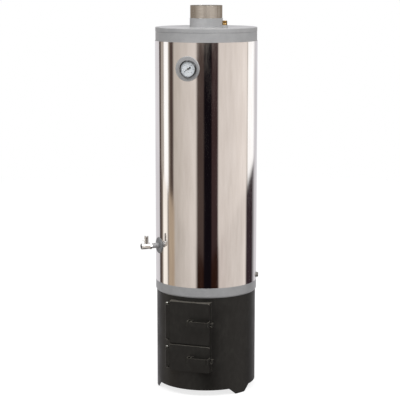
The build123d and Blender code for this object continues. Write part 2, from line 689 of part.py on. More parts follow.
VALVE_ROSETTE_R = 33.0
VALVE_ROSETTE_OUT = JACKET_R + 4.0
with BuildPart() as valve_rosette:
    with BuildSketch(valve_plane.offset(JACKET_R * 0.9)):
        Circle(VALVE_ROSETTE_R)
        Circle(PIPE_R, mode=Mode.SUBTRACT)
    extrude(amount=VALVE_ROSETTE_OUT - JACKET_R * 0.9)
    outer_face = valve_rosette.faces().sort_by(Axis((0, 0, VALVE_Z), valve_plane.z_dir))[-1]
    chamfer(outer_face.edges().sort_by(SortBy.LENGTH)[-1], 2.5)
    with BuildSketch(Plane.XY.offset(VALVE_Z - VALVE_ROSETTE_R - 1)):
        Circle(JACKET_R)
    extrude(amount=2 * VALVE_ROSETTE_R + 2, mode=Mode.SUBTRACT)
save(valve_rosette, "valve_rosette")

with BuildPart() as valve_nut:
    with BuildSketch(valve_plane.offset(NUT_START)):
        RegularPolygon(14.5, 6, major_radius=True)
        Circle(8.0, mode=Mode.SUBTRACT)
    extrude(amount=NUT_END - NUT_START)
save(valve_nut, "valve_nut")

bonnet_centre = radial_plane(VALVE_AZIMUTH, 0, BONNET_DISTANCE).origin
bonnet_axis = Axis((bonnet_centre.X, bonnet_centre.Y, 0), (0, 0, 1))
SEAT_Z = VALVE_Z + 4.0
INLET_BORE_R = 9.3
INLET_BORE_LENGTH = 11.0
with BuildPart() as valve_body:
    with BuildSketch(valve_plane.offset(NUT_END)):
        Circle(VALVE_BODY_R)
    extrude(amount=VALVE_END - NUT_END)
    chamfer(valve_body.edges(), 1.0)
    with BuildSketch(Plane.XY.offset(VALVE_Z)):
        with Locations((bonnet_centre.X, bonnet_centre.Y)):
            Circle(BONNET_R)
    extrude(amount=BONNET_BOTTOM - VALVE_Z)
    with BuildSketch(valve_plane.offset(NUT_END)):
        Circle(4.0)
    extrude(amount=VALVE_END - NUT_END, mode=Mode.SUBTRACT)
    with BuildSketch(valve_plane.offset(VALVE_END - INLET_BORE_LENGTH)):
        Circle(INLET_BORE_R)
    extrude(amount=INLET_BORE_LENGTH, mode=Mode.SUBTRACT)
    with BuildSketch(Plane.XY.offset(VALVE_Z)):
        with Locations((bonnet_centre.X, bonnet_centre.Y)):
            Circle(2.6)
    extrude(amount=SEAT_Z - VALVE_Z, mode=Mode.SUBTRACT)
    with BuildSketch(Plane.XY.offset(SEAT_Z)):
        with Locations((bonnet_centre.X, bonnet_centre.Y)):
            Circle(5.6)
    extrude(amount=BONNET_BOTTOM - SEAT_Z, mode=Mode.SUBTRACT)
save(valve_body, "valve_body")

# The spring bonnet, with a bearing neck for the relief knob
NECK_R = 5.0
NECK_TOP = KNOB_BOTTOM + 1.6
BONNET_ROOF = 629.0
BARB_Z = 627.0
with BuildPart() as relief_bonnet:
    with BuildSketch(Plane.XY.offset(BONNET_BOTTOM)):
        with Locations((bonnet_centre.X, bonnet_centre.Y)):
            Circle(BONNET_R)
    extrude(amount=KNOB_BOTTOM - 0.4 - BONNET_BOTTOM)
    with BuildSketch(Plane.XY.offset(KNOB_BOTTOM - 0.4)):
        with Locations((bonnet_centre.X, bonnet_centre.Y)):
            Circle(NECK_R)
    extrude(amount=NECK_TOP - KNOB_BOTTOM + 0.4)
    with BuildSketch(Plane.XY.offset(BONNET_BOTTOM)):
        with Locations((bonnet_centre.X, bonnet_centre.Y)):
            Circle(5.6)
    extrude(amount=BONNET_ROOF - BONNET_BOTTOM, mode=Mode.SUBTRACT)
    with BuildSketch(Plane.XY.offset(BONNET_ROOF)):
        with Locations((bonnet_centre.X, bonnet_centre.Y)):
            Circle(SPINDLE_R + HINGE_PLAY)
    extrude(amount=NECK_TOP - BONNET_ROOF, mode=Mode.SUBTRACT)
    with BuildSketch(radial_plane(VALVE_AZIMUTH, BARB_Z - 3, BONNET_DISTANCE)):
        Circle(1.2)
    extrude(amount=BONNET_R + 1, mode=Mode.SUBTRACT)
save(relief_bonnet, "relief_bonnet")

# The knob that is turned by hand to test the valve: a crown with a V notch across it
NOTCH_HALF = 4.6
NOTCH_BOTTOM = KNOB_BOTTOM + 3.4
NOTCH_AZIMUTH = 19.0
notch_plane = Plane(
    origin=(bonnet_centre.X, bonnet_centre.Y, NOTCH_BOTTOM),
    x_dir=radial_plane(NOTCH_AZIMUTH, 0).x_dir,
    z_dir=radial_plane(NOTCH_AZIMUTH, 0).z_dir,
)
notch_height = KNOB_TOP - NOTCH_BOTTOM
with BuildPart() as relief_knob:
    with BuildSketch(Plane.XY.offset(KNOB_BOTTOM)):
        with Locations((bonnet_centre.X, bonnet_centre.Y)):
            Circle(BONNET_R)
            Circle(SPINDLE_R + 0.4, mode=Mode.SUBTRACT)
    extrude(amount=KNOB_TOP - KNOB_BOTTOM)
    with BuildSketch(Plane.XY.offset(KNOB_BOTTOM)):
        with Locations((bonnet_centre.X, bonnet_centre.Y)):
            Circle(NECK_R + HINGE_PLAY)
    extrude(amount=NECK_TOP - KNOB_BOTTOM + 0.4, mode=Mode.SUBTRACT)
    with BuildSketch(Plane.XY.offset(NOTCH_BOTTOM)):
        with Locations((bonnet_centre.X, bonnet_centre.Y)):
            Circle(4.4)
    extrude(amount=notch_height, mode=Mode.SUBTRACT)
    with BuildSketch(notch_plane):
        with BuildLine():
            Polyline((0, 0), (NOTCH_HALF, notch_height), (-NOTCH_HALF, notch_height), close=True)
        make_face()
    extrude(amount=BONNET_R + 1, both=True, mode=Mode.SUBTRACT)
save(relief_knob, "relief_knob")

# The relief spindle: a disc on the seat, a rod through the bonnet and a nut inside the knob's crown
DISC_R = 4.6
DISC_T = 2.0
NUT_BOTTOM = NOTCH_BOTTOM + 0.3
NUT_T = 2.4
with BuildPart() as relief_spindle:
    with BuildSketch(Plane.XY.offset(SEAT_Z)):
        with Locations((bonnet_centre.X, bonnet_centre.Y)):
            Circle(DISC_R)
    extrude(amount=DISC_T)
    with BuildSketch(Plane.XY.offset(SEAT_Z)):
        with Locations((bonnet_centre.X, bonnet_centre.Y)):
            Circle(SPINDLE_R)
    extrude(amount=NUT_BOTTOM + NUT_T + 0.6 - SEAT_Z)
    with BuildSketch(Plane.XY.offset(NUT_BOTTOM)):
        with Locations((bonnet_centre.X, bonnet_centre.Y)):
            RegularPolygon(3.6, 6)
    extrude(amount=NUT_T)
save(relief_spindle, "relief_spindle")

# The spring that holds the disc down, between the disc and the bonnet's roof
SPRING_WIRE_R = 0.5
SPRING_R = 3.6
spring_low = SEAT_Z + DISC_T + SPRING_WIRE_R
spring_height = BONNET_ROOF - SPRING_WIRE_R - spring_low
with BuildPart() as relief_spring:
    with BuildLine():
        coil = Helix(
            pitch=spring_height / SPRING_COILS,
            height=spring_height,
            radius=SPRING_R,
            center=(bonnet_centre.X, bonnet_centre.Y, spring_low),
        )
    with BuildSketch(Plane(origin=coil @ 0, z_dir=coil % 0)):
        Circle(SPRING_WIRE_R)
    sweep(path=coil)
print("relief spring: gap between its turns", round(spring_height / SPRING_COILS - 2 * SPRING_WIRE_R, 2))
save(relief_spring, "relief_spring")

# The small barb that drains the relief chamber
BARB_R = 2.4
BARB_BORE_R = 1.2
BARB_LENGTH = 8.0
barb_plane = radial_plane(VALVE_AZIMUTH, BARB_Z - 3, BONNET_DISTANCE)
with BuildPart() as discharge_barb:
    with BuildSketch(barb_plane.offset(BONNET_R - 0.6)):
        Circle(BARB_R - 0.4)
    extrude(amount=BARB_LENGTH)
    with BuildSketch(barb_plane.offset(BONNET_R + BARB_LENGTH - 4.5)):
        Circle(BARB_R)
    extrude(amount=3.2, taper=12)
    with BuildSketch(barb_plane.offset(BONNET_R - 1)):
        Circle(BARB_BORE_R)
    extrude(amount=BARB_LENGTH + 2, mode=Mode.SUBTRACT)
    with BuildSketch(Plane.XY.offset(BARB_Z - 8)):
        with Locations((bonnet_centre.X, bonnet_centre.Y)):
            Circle(BONNET_R)
    extrude(amount=12, mode=Mode.SUBTRACT)
save(discharge_barb, "discharge_barb")
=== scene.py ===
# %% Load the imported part
import math

import bmesh
import bpy
from mathutils import Matrix, Vector


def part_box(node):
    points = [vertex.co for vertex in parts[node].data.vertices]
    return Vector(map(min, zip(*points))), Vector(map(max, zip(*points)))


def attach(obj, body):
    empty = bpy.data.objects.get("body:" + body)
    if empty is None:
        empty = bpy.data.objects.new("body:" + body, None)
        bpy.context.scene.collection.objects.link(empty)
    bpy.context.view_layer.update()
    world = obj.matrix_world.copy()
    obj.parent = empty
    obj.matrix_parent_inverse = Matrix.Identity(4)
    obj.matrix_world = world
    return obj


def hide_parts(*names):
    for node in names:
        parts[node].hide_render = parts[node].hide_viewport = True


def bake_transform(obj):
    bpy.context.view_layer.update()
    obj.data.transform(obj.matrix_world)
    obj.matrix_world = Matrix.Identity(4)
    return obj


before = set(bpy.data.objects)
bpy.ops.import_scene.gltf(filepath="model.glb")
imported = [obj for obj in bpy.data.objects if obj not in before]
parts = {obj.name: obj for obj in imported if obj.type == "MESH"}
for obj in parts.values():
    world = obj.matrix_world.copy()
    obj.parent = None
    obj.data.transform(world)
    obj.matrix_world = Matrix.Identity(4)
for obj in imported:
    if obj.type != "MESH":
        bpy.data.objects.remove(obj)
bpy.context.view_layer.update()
scene = bpy.context.scene
scene.view_settings.view_transform = "Standard"

# %% [markdown]
# The heater is a tall polished cylinder on a black firebox. Everything below is in metres, with
# +Z up and the doors facing -Y. The camera comes first, because every later choice is judged
# through it. It stands 5.6 m away, a little to the right of the doors and a little above the top
# of the heater, with a long lens, so the cylinder shows almost without perspective.

# %% Camera
MM = 0.001
CAMERA_AZIMUTH = math.radians(19.2)
CAMERA_DISTANCE = 5.631
CAMERA_HEIGHT = 1.692
CAMERA_TILT = math.radians(9.27)
CAMERA_PAN = math.radians(0.256)
LENS_MM = 125.28


def around(azimuth, distance, height):
    """A point at an azimuth from the front, in radians, positive to the right."""
    return Vector((distance * math.sin(azimuth), -distance * math.cos(azimuth), height))


def face_along(direction):
    """The turn that makes an object look along a direction, as a camera or lamp does."""
    return direction.to_track_quat("-Z", "Y").to_matrix().to_4x4()


heading = Vector((-math.sin(CAMERA_AZIMUTH), math.cos(CAMERA_AZIMUTH), 0))
heading.rotate(Matrix.Rotation(CAMERA_PAN, 3, "Z"))
looking = heading * math.cos(CAMERA_TILT) - Vector((0, 0, math.sin(CAMERA_TILT)))
camera_data = bpy.data.cameras.new("photo_camera")
camera_data.sensor_width = 36
camera_data.lens = LENS_MM
camera = bpy.data.objects.new("photo_camera", camera_data)
camera_place = around(CAMERA_AZIMUTH, CAMERA_DISTANCE, CAMERA_HEIGHT)
camera.matrix_world = Matrix.Translation(camera_place) @ face_along(looking)
scene.collection.objects.link(camera)
scene.camera = camera
print("camera at", [round(c, 3) for c in camera.location])

# %% [markdown]
# Colours are written as the hex values that a screen shows. Shaders work in linear light, so one
# function turns a hex value linear, and one more adds a shader node with its settings and links.


# %% Colour and node helpers
def linear(hex_colour, alpha=1.0):
    """Linear red, green, blue and alpha of an sRGB hex colour such as 'A0A0A2'."""
    channels = [int(hex_colour[i:i + 2], 16) / 255 for i in (0, 2, 4)]
    return [c / 12.92 if c <= 0.04045 else ((c + 0.055) / 1.055) ** 2.4 for c in channels] + [alpha]


def node(tree, kind, links=None, **settings):
    """Adds a node; links maps each socket to a value or to another node's output."""
    made = tree.nodes.new(kind)
    for name, value in settings.items():
        setattr(made, name, value)
    for socket, source in (links or {}).items():
        if isinstance(source, bpy.types.NodeSocket):
            tree.links.new(source, made.inputs[socket])
        else:
            made.inputs[socket].default_value = source
    return made


def ramp(tree, factor, stops, interpolation="LINEAR"):
    """A colour ramp through (position, linear colour) stops; returns its colour output."""
    made = node(tree, "ShaderNodeValToRGB", {"Fac": factor})
    made.color_ramp.interpolation = interpolation
    elements = made.color_ramp.elements
    elements[0].position, elements[0].color = stops[0]
    elements[1].position, elements[1].color = stops[-1]
    for position, colour in stops[1:-1]:
        elements.new(position).color = colour
    return made.outputs["Color"]


def new_finish(name):
    """A material with a Principled shader; returns it, its tree, the shader and Object coordinates."""
    material = bpy.data.materials.new(name)
    material.use_nodes = True
    tree = material.node_tree
    shader = tree.nodes["Principled BSDF"]
    coords = node(tree, "ShaderNodeTexCoord").outputs["Object"]
    return material, tree, shader, coords


def grain(tree, coords, size_mm, detail=3.0, stretch=(1, 1, 1), roughness=0.5):
    """Noise whose features are size_mm across, stretched along the axes; returns its factor."""
    mapped = node(tree, "ShaderNodeMapping", {"Vector": coords, "Scale": stretch})
    links = {"Vector": mapped.outputs[0], "Scale": 1 / (size_mm * MM), "Detail": detail,
        "Roughness": roughness}
    return node(tree, "ShaderNodeTexNoise", links).outputs["Fac"]


def relief(tree, shader, height, depth_mm, strength=1.0):
    """Feeds a height pattern to the shader's normal as a bump of the given depth."""
    bump = node(tree, "ShaderNodeBump", {"Height": height, "Distance": depth_mm * MM, "Strength": strength})
    tree.links.new(bump.outputs["Normal"], shader.inputs["Normal"])


def spread(tree, factor, low, high):
    """Maps the useful middle of a noise, 0.3 to 0.7, to the range low to high."""
    links = {"Value": factor, "From Min": 0.3, "From Max": 0.7, "To Min": low, "To Max": high}
    return node(tree, "ShaderNodeMapRange", links).outputs["Result"]


# %% [markdown]
# The firebox, doors and handles wear heat-proof silicone paint, sprayed on sheet steel. It is a
# near-black brown-grey with a low sheen, and its film has a fine orange peel. Real peel is about
# 1 mm across, too fine to show at this distance, so here it is drawn 2.5 mm across. Handling
# leaves slightly glossier and duller patches, so the roughness wanders over some centimetres.
# The upper edges of the real doors and handles show as thin pale lines, most likely light caught on
# the edge. The lamps here don't give that on a black paint, so a painted highlight turns the colour
# paler wherever the surface looks upwards.


# %% Heat-proof silicone paint
def heat_paint():
    material, tree, shader, coords = new_finish("heat_proof_silicone_paint")
    patches = grain(tree, coords, 60, detail=4)
    soot = grain(tree, coords, 14, detail=5, stretch=(1, 1, 0.5))
    mixed = node(tree, "ShaderNodeMath", {0: patches, 1: soot}, operation="MULTIPLY").outputs[0]
    colour = ramp(tree, mixed, [(0.12, linear("1C1B19")), (0.28, linear("232220")), (0.45, linear("2B2A27"))])
    # Painted highlight: the colour turns paler where the surface looks upwards, in place of light caught on
    # upper edges.
    normal = node(tree, "ShaderNodeTexCoord").outputs["Normal"]
    facing_up = node(tree, "ShaderNodeSeparateXYZ", {0: normal}).outputs["Z"]
    upward = {"Value": facing_up, "From Min": 0.25, "From Max": 0.6}
    highlight_amount = node(tree, "ShaderNodeMapRange", upward).outputs["Result"]
    tones = {"Factor": highlight_amount, 6: colour, 7: linear("66625B")}
    painted_highlight = node(tree, "ShaderNodeMix", tones, data_type="RGBA").outputs[2]
    tree.links.new(painted_highlight, shader.inputs["Base Color"])
    tree.links.new(spread(tree, patches, 0.38, 0.5), shader.inputs["Roughness"])
    peel = grain(tree, coords, 2.5, detail=2)
    relief(tree, shader, peel, 0.12)
    shader.inputs["IOR"].default_value = 1.5
    shader.inputs["Specular IOR Level"].default_value = 0.3
    return material


# %% [markdown]
# The bands, the lid, the collar and the thermometer's rosette are powder coated in a neutral grey.
# The valve's rosette has a darker copy of that coat, which is painted shade. Powder coat melts and
# levels in an oven, which leaves a soft orange peel and an even satin gloss.


# %% Satin powder coat
def powder_coat(name, dark, middle, light):
    material, tree, shader, coords = new_finish(name)
    drift = grain(tree, coords, 45, detail=3)
    speckle = grain(tree, coords, 3, detail=2)
    blend = node(tree, "ShaderNodeMath", {0: drift, 1: speckle}, operation="MULTIPLY").outputs[0]
    colour = ramp(tree, blend, [(0.1, linear(dark)), (0.25, linear(middle)), (0.45, linear(light))])
    tree.links.new(colour, shader.inputs["Base Color"])
    tree.links.new(spread(tree, drift, 0.3, 0.4), shader.inputs["Roughness"])
    relief(tree, shader, speckle, 0.06)
    shader.inputs["IOR"].default_value = 1.5
    return material


# %% [markdown]
# The jacket is polished stainless sheet, rolled round the foam. A mirror has no colour of its own
# to speak of, only a faint warm tint, so nearly all that it shows is the room. Sheet this thin is
# never quite flat: shallow waves 100 mm long bend the reflections a little. A few streaks of
# polishing haze, stretched along the height, keep it from looking like a perfect mirror.


# %% Mirror-polished stainless
def mirror_steel():
    material, tree, shader, coords = new_finish("mirror_polished_stainless")
    haze = grain(tree, coords, 18, detail=4, stretch=(1, 1, 0.12))
    colour = ramp(tree, haze, [(0.3, linear("E2DEDB")), (0.7, linear("EDEAE8"))])
    tree.links.new(colour, shader.inputs["Base Color"])
    tree.links.new(spread(tree, haze, 0.03, 0.09), shader.inputs["Roughness"])
    waves = grain(tree, coords, 110, detail=1, stretch=(1, 1, 0.35))
    relief(tree, shader, waves, 0.12)
    shader.inputs["Metallic"].default_value = 1.0
    return material


# %% [markdown]
# The flue spigot is the same steel, ground on a belt. The grinding lines run round the pipe. They
# are a tenth of a millimetre apart in truth. Here they are drawn 1.5 mm apart and mostly as a change
# of tone, because a rougher surface would lose the upright bands that the spigot mirrors.
# The inner tank, its heads and the flue pipe are plain rolled steel: darker, with cloudy mill marks.


# %% Ground stainless and rolled steel
def ground_steel(name, dark, light, rough_low, rough_high, lines_mm):
    material, tree, shader, coords = new_finish(name)
    lines = grain(tree, coords, lines_mm, detail=3, stretch=(0.06, 0.06, 1))
    clouds = grain(tree, coords, 50, detail=4)
    both = node(tree, "ShaderNodeMath", {0: lines, 1: clouds}, operation="MULTIPLY").outputs[0]
    tree.links.new(ramp(tree, both, [(0.12, linear(dark)), (0.4, linear(light))]),
        shader.inputs["Base Color"])
    tree.links.new(spread(tree, lines, rough_low, rough_high), shader.inputs["Roughness"])
    relief(tree, shader, lines, 0.001)
    shader.inputs["Metallic"].default_value = 1.0
    return material


# %% [markdown]
# The small fittings are turned metal. The safety valve is nickel-plated brass, the outlet nipple is
# bare brass, and the thermometer's case is bright chrome. Its bezel is chrome with a dark base colour
# that dims what it mirrors: a painted dark reflection. The hinge pins and the spring are zinc plated,
# which looks a little milky and mottled. The handles' rivets are painted over with the doors.


# %% Turned and plated metals
def turned_metal(name, dark, light, rough_low, rough_high, spot_mm=4.0):
    material, tree, shader, coords = new_finish(name)
    spots = grain(tree, coords, spot_mm, detail=4)
    tree.links.new(ramp(tree, spots, [(0.3, linear(dark)), (0.7, linear(light))]),
        shader.inputs["Base Color"])
    tree.links.new(spread(tree, spots, rough_low, rough_high), shader.inputs["Roughness"])
    relief(tree, shader, grain(tree, coords, 0.8, detail=2), 0.01)
    shader.inputs["Metallic"].default_value = 1.0
    return material


# %% [markdown]
# The grate is grey cast iron: dark, matt and rough like sandpaper, with the sand mould's grain
# about 1 mm across and some brown rust. The insulation is poured polyurethane foam, a dull yellow
# with fine cells that a Voronoi pattern stands for.


# %% Cast iron and foam
def cast_iron():
    material, tree, shader, coords = new_finish("sand_cast_iron")
    rust = grain(tree, coords, 22, detail=6)
    colour = ramp(tree, rust, [(0.35, linear("26241F")), (0.55, linear("332F2B")), (0.72, linear("4A3527"))])
    tree.links.new(colour, shader.inputs["Base Color"])
    tree.links.new(spread(tree, rust, 0.7, 0.9), shader.inputs["Roughness"])
    relief(tree, shader, grain(tree, coords, 1.2, detail=4), 0.3)
    shader.inputs["Metallic"].default_value = 0.35
    return material


def poured_foam():
    material, tree, shader, coords = new_finish("poured_polyurethane_foam")
    cells = node(tree, "ShaderNodeTexVoronoi", {"Vector": coords, "Scale": 1 / (4 * MM)}).outputs["Distance"]
    age = grain(tree, coords, 60, detail=3)
    tree.links.new(ramp(tree, age, [(0.3, linear("CDB068")), (0.7, linear("E0C989"))]),
        shader.inputs["Base Color"])
    shader.inputs["Roughness"].default_value = 0.95
    relief(tree, shader, cells, 0.8)
    return material


# %% [markdown]
# The thermometer's dial is a thin plate with a printed pale face, and its needle is black enamelled.
# A printed face is not paper flat: it has a faint mottle. The glass is clear float glass. A solid
# glass shader would keep the lamps' light off the dial, so the pane is drawn nearly see-through.


# %% Dial, ink, needle and glass
def printed(name, dark, light, roughness):
    material, tree, shader, coords = new_finish(name)
    mottle = grain(tree, coords, 3, detail=3)
    tree.links.new(ramp(tree, mottle, [(0.3, linear(dark)), (0.7, linear(light))]),
        shader.inputs["Base Color"])
    tree.links.new(spread(tree, mottle, roughness, roughness + 0.08), shader.inputs["Roughness"])
    return material


def float_glass():
    material, tree, shader, coords = new_finish("clear_float_glass")
    smears = grain(tree, coords, 12, detail=3)
    tree.links.new(spread(tree, smears, 0.0, 0.04), shader.inputs["Roughness"])
    shader.inputs["Base Color"].default_value = linear("E4ECF1")
    shader.inputs["Alpha"].default_value = 0.06
    shader.inputs["IOR"].default_value = 1.5
    return material


PAINT = heat_paint()
COAT = powder_coat("satin_powder_coat", "A8A9AB", "B3B3B4", "BCBCBD")
# A darker copy of the same coat for the valve's rosette: painted shade.
COAT_SHADED = powder_coat("powder_coat_painted_shade", "828385", "8A8B8C", "929394")
MIRROR = mirror_steel()
FLUE_STEEL = ground_steel("belt_ground_stainless", "C9C5BF", "DCD9D4", 0.05, 0.08, 1.5)
ROLLED = ground_steel("rolled_mild_steel", "5A5753", "85817B", 0.4, 0.6, 3.0)
NICKEL = turned_metal("nickel_plated_brass", "CBCBC9", "E9E9E8", 0.12, 0.22)
BRASS = turned_metal("turned_brass", "8A6F47", "B4945F", 0.25, 0.4)
CHROME = turned_metal("bright_chrome", "D5D6D8", "E8E9EA", 0.05, 0.1)
# Chrome with a dark base colour for the bezel, which dims what it mirrors: a painted dark reflection.
DARK_CHROME = turned_metal("chrome_with_painted_dim_reflection", "4C4D50", "626467", 0.08, 0.14)
ZINC = turned_metal("zinc_plated_steel", "A8A9A6", "C9CAC5", 0.25, 0.4)
IRON = cast_iron()
FOAM = poured_foam()
FACE = printed("printed_dial_face", "F1F7FD", "FBFDFF", 0.35)
INK = printed("black_printing_ink", "1B1C1F", "26272B", 0.45)
ENAMEL = printed("black_enamel", "14161A", "1E2126", 0.2)
GLASS = float_glass()
print("finishes:", len(bpy.data.materials))

# %% [markdown]
# Most plates and fittings already have their true shape in the frame. Such a piece is a copy of
# its node: its loose triangles are merged, flat areas become single faces, a small bevel breaks
# the edges so that they catch the light, and smooth shading stops at edges over 35 degrees. A
# Weighted Normal modifier then lets the big faces rule the shading, so that they stay flat.

# %% Dressing a node of the frame
SMOOTH_UNDER = math.radians(35)


def settle(name, mesh, material, body, replaced=()):
    """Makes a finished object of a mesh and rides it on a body."""
    mesh.shade_smooth()
    mesh.set_sharp_from_angle(angle=SMOOTH_UNDER)
    mesh = applied(name, mesh, [("WEIGHTED_NORMAL", {"keep_sharp": True})])
    mesh.name = name
    if material is not None:
        mesh.materials.clear()
        mesh.materials.append(material)
    piece = bpy.data.objects.new(name, mesh)
    scene.collection.objects.link(piece)
    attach(piece, body)
    if replaced:
        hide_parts(*replaced)
    return piece


def applied(name, mesh, modifiers):
    """Runs a list of (type, settings) modifiers over a mesh and returns the resulting mesh."""
    carrier = bpy.data.objects.new(name, mesh)
    scene.collection.objects.link(carrier)
    for kind, settings in modifiers:
        modifier = carrier.modifiers.new(kind.lower(), kind)
        for key, value in settings.items():
            setattr(modifier, key, value)
    depsgraph = bpy.context.evaluated_depsgraph_get()
    result = bpy.data.meshes.new_from_object(carrier.evaluated_get(depsgraph), depsgraph=depsgraph)
    bpy.data.objects.remove(carrier)
    return result


def dressed(name, nodes, material, body, bevel_mm=0.6):
    """A bevelled, smooth-shaded copy of one or more nodes that stands for them."""
    skin = bmesh.new()
    for one in nodes:
        skin.from_mesh(parts[one].data)
    bmesh.ops.remove_doubles(skin, verts=skin.verts, dist=0.002 * MM)
    bmesh.ops.dissolve_limit(skin, angle_limit=math.radians(0.5), verts=skin.verts, edges=skin.edges)
    mesh = bpy.data.meshes.new(name)
    skin.to_mesh(mesh)
    skin.free()
    if bevel_mm:
        settings = {"width": bevel_mm * MM, "segments": 2, "limit_method": "ANGLE",
                    "angle_limit": SMOOTH_UNDER, "miter_outer": "MITER_ARC"}
        mesh = applied(name, mesh, [("BEVEL", settings)])
    return settle(name, mesh, material, body, nodes)


# %% [markdown]
# Everything round on this heater is a surface of revolution: a flat outline turned about the axis.
# The lathe below takes the outline as radius and height in millimetres. With 192 steps a jacket
# 413 mm across has facets under 7 mm wide, and smooth shading hides them even in a mirror.

# %% Lathe
STEPS = 192


def lathe_mesh(name, outline, steps=STEPS):
    """A closed ring from a closed outline of (radius, height) points in mm, counted anticlockwise."""
    rings = []
    shape = bmesh.new()
    for step in range(steps):
        angle = 2 * math.pi * (step + 0.5) / steps
        rings.append([shape.verts.new(around(angle, r * MM, z * MM)) for r, z in outline])
    for step, ring in enumerate(rings):
        after = rings[(step + 1) % steps]
        for i in range(len(outline)):
            j = (i + 1) % len(outline)
            shape.faces.new((ring[i], after[i], after[j], ring[j]))
    bmesh.ops.recalc_face_normals(shape, faces=shape.faces)
    mesh = bpy.data.meshes.new(name)
    shape.to_mesh(mesh)
    shape.free()
    return mesh


def rounded(corners, radius, turns=4):
    """Rounds the convex corners of an outline by cutting each with a short arc."""
    result = []
    for i, corner in enumerate(corners):
        here = Vector(corner)
        before = Vector(corners[i - 1]) - here
        after = Vector(corners[(i + 1) % len(corners)]) - here
        reach = min(radius, before.length * 0.45, after.length * 0.45)
        start = here + before.normalized() * reach
        end = here + after.normalized() * reach
        for k in range(turns + 1):
            t = k / turns
            point = start * (1 - t) ** 2 + here * 2 * t * (1 - t) + end * t ** 2
            result.append((point.x, point.y))
    return result


# %% [markdown]
# The jacket is the main piece and follows a simple rule: a flat sheet, bent into a tube. That is
# how it is made, so that is how Geometry Nodes build it here. A grid is laid out as wide as the
# tube's circumference, each point's place across the grid becomes an angle, and the two meeting
# edges are merged at the back, under the folded seam. Solidify then gives the sheet its 0.8 mm,
# and the holes for the thermometer, the valve pipe and the drain are cut out.


# %% Geometry Nodes helpers
def node_group(name, sockets):
    """A Geometry Nodes tree with named inputs; sockets maps each name to (type, default)."""
    tree = bpy.data.node_groups.new(name, "GeometryNodeTree")
    tree.interface.new_socket(name="Geometry", in_out="INPUT", socket_type="NodeSocketGeometry")
    for label, (kind, default) in sockets.items():
        socket = tree.interface.new_socket(name=label, in_out="INPUT", socket_type="NodeSocket" + kind)
        if default is not None:
            socket.default_value = default
    tree.interface.new_socket(name="Geometry", in_out="OUTPUT", socket_type="NodeSocketGeometry")
    return tree, node(tree, "NodeGroupInput").outputs


def close_tree(tree, geometry, material):
    """Ends a tree in Realize Instances and Set Material."""
    real = node(tree, "GeometryNodeRealizeInstances", {"Geometry": geometry})
    painted = node(tree, "GeometryNodeSetMaterial", {"Geometry": real.outputs[0], "Material": material})
    node(tree, "NodeGroupOutput", {"Geometry": painted.outputs[0]})


def grow(name, tree, values, source=None):
    """Runs a tree on an object and returns what it made as a plain mesh."""
    carrier = bpy.data.objects.new(name, source or bpy.data.meshes.new(name))
    modifier = carrier.modifiers.new("grow", "NODES")
    modifier.node_group = tree
    for item in tree.interface.items_tree:
        if item.in_out == "INPUT" and item.name in values:
            modifier[item.identifier] = values[item.name]
    scene.collection.objects.link(carrier)
    depsgraph = bpy.context.evaluated_depsgraph_get()
    mesh = bpy.data.meshes.new_from_object(carrier.evaluated_get(depsgraph), depsgraph=depsgraph)
    bpy.data.objects.remove(carrier)
    return mesh


def math_node(tree, operation, first, second):
    return node(tree, "ShaderNodeMath", {0: first, 1: second}, operation=operation).outputs[0]


# %% The tree that rolls a sheet into a tube
def rolled_sheet_tree():
    tree, given = node_group("rolled_sheet", {
        "Radius": ("Float", 0.2), "Bottom": ("Float", 0.0), "Top": ("Float", 1.0),
        "Columns": ("Int", 64), "Rows": ("Int", 16), "Material": ("Material", None)})
    width = math_node(tree, "MULTIPLY", given["Radius"], 2 * math.pi)
    height = math_node(tree, "SUBTRACT", given["Top"], given["Bottom"])
    columns = math_node(tree, "ADD", given["Columns"], 1.0)
    grid = node(tree, "GeometryNodeMeshGrid", {
        "Size X": width, "Size Y": height, "Vertices X": columns, "Vertices Y": given["Rows"]})
    position = node(tree, "GeometryNodeInputPosition").outputs[0]
    flat = node(tree, "ShaderNodeSeparateXYZ", {0: position}).outputs
    angle = math_node(tree, "DIVIDE", flat["X"], given["Radius"])
    across = math_node(tree, "MULTIPLY", math_node(tree, "SINE", angle, 0.0), given["Radius"])
    deep = math_node(tree, "MULTIPLY", math_node(tree, "COSINE", angle, 0.0), given["Radius"])
    middle = math_node(tree, "MULTIPLY", math_node(tree, "ADD", given["Top"], given["Bottom"]), 0.5)
    place = node(tree, "ShaderNodeCombineXYZ", {
        "X": across, "Y": math_node(tree, "MULTIPLY", deep, -1.0),
        "Z": math_node(tree, "ADD", flat["Y"], middle)})
    bent = node(tree, "GeometryNodeSetPosition",
        {"Geometry": grid.outputs["Mesh"], "Position": place.outputs[0]})
    joined = node(tree, "GeometryNodeMergeByDistance", {"Geometry": bent.outputs[0], "Distance": 0.05 * MM})
    close_tree(tree, joined.outputs[0], given["Material"])
    return tree


# %% Jacket
JACKET_R = 206.5
JACKET_BOTTOM, JACKET_TOP = 448.5, 1424.0
GAUGE_Z = 1322.5
VALVE_AZIMUTH, VALVE_Z = math.radians(-48), 600.0
DRAIN_AZIMUTH, DRAIN_Z = math.radians(104), 466.0


def cutter(azimuth, height, radius):
    """A round bar through the jacket's wall, to cut a hole with."""
    bar = bmesh.new()
    bmesh.ops.create_cone(bar, cap_ends=True, segments=48, radius1=radius * MM, radius2=radius * MM,
        depth=60 * MM)
    outwards = around(azimuth, 1, 0)
    turn = outwards.to_track_quat("Z", "Y").to_matrix().to_4x4()
    bar.transform(Matrix.Translation(around(azimuth, JACKET_R * MM, height * MM)) @ turn)
    mesh = bpy.data.meshes.new("cutter")
    bar.to_mesh(mesh)
    bar.free()
    piece = bpy.data.objects.new("cutter", mesh)
    scene.collection.objects.link(piece)
    return piece


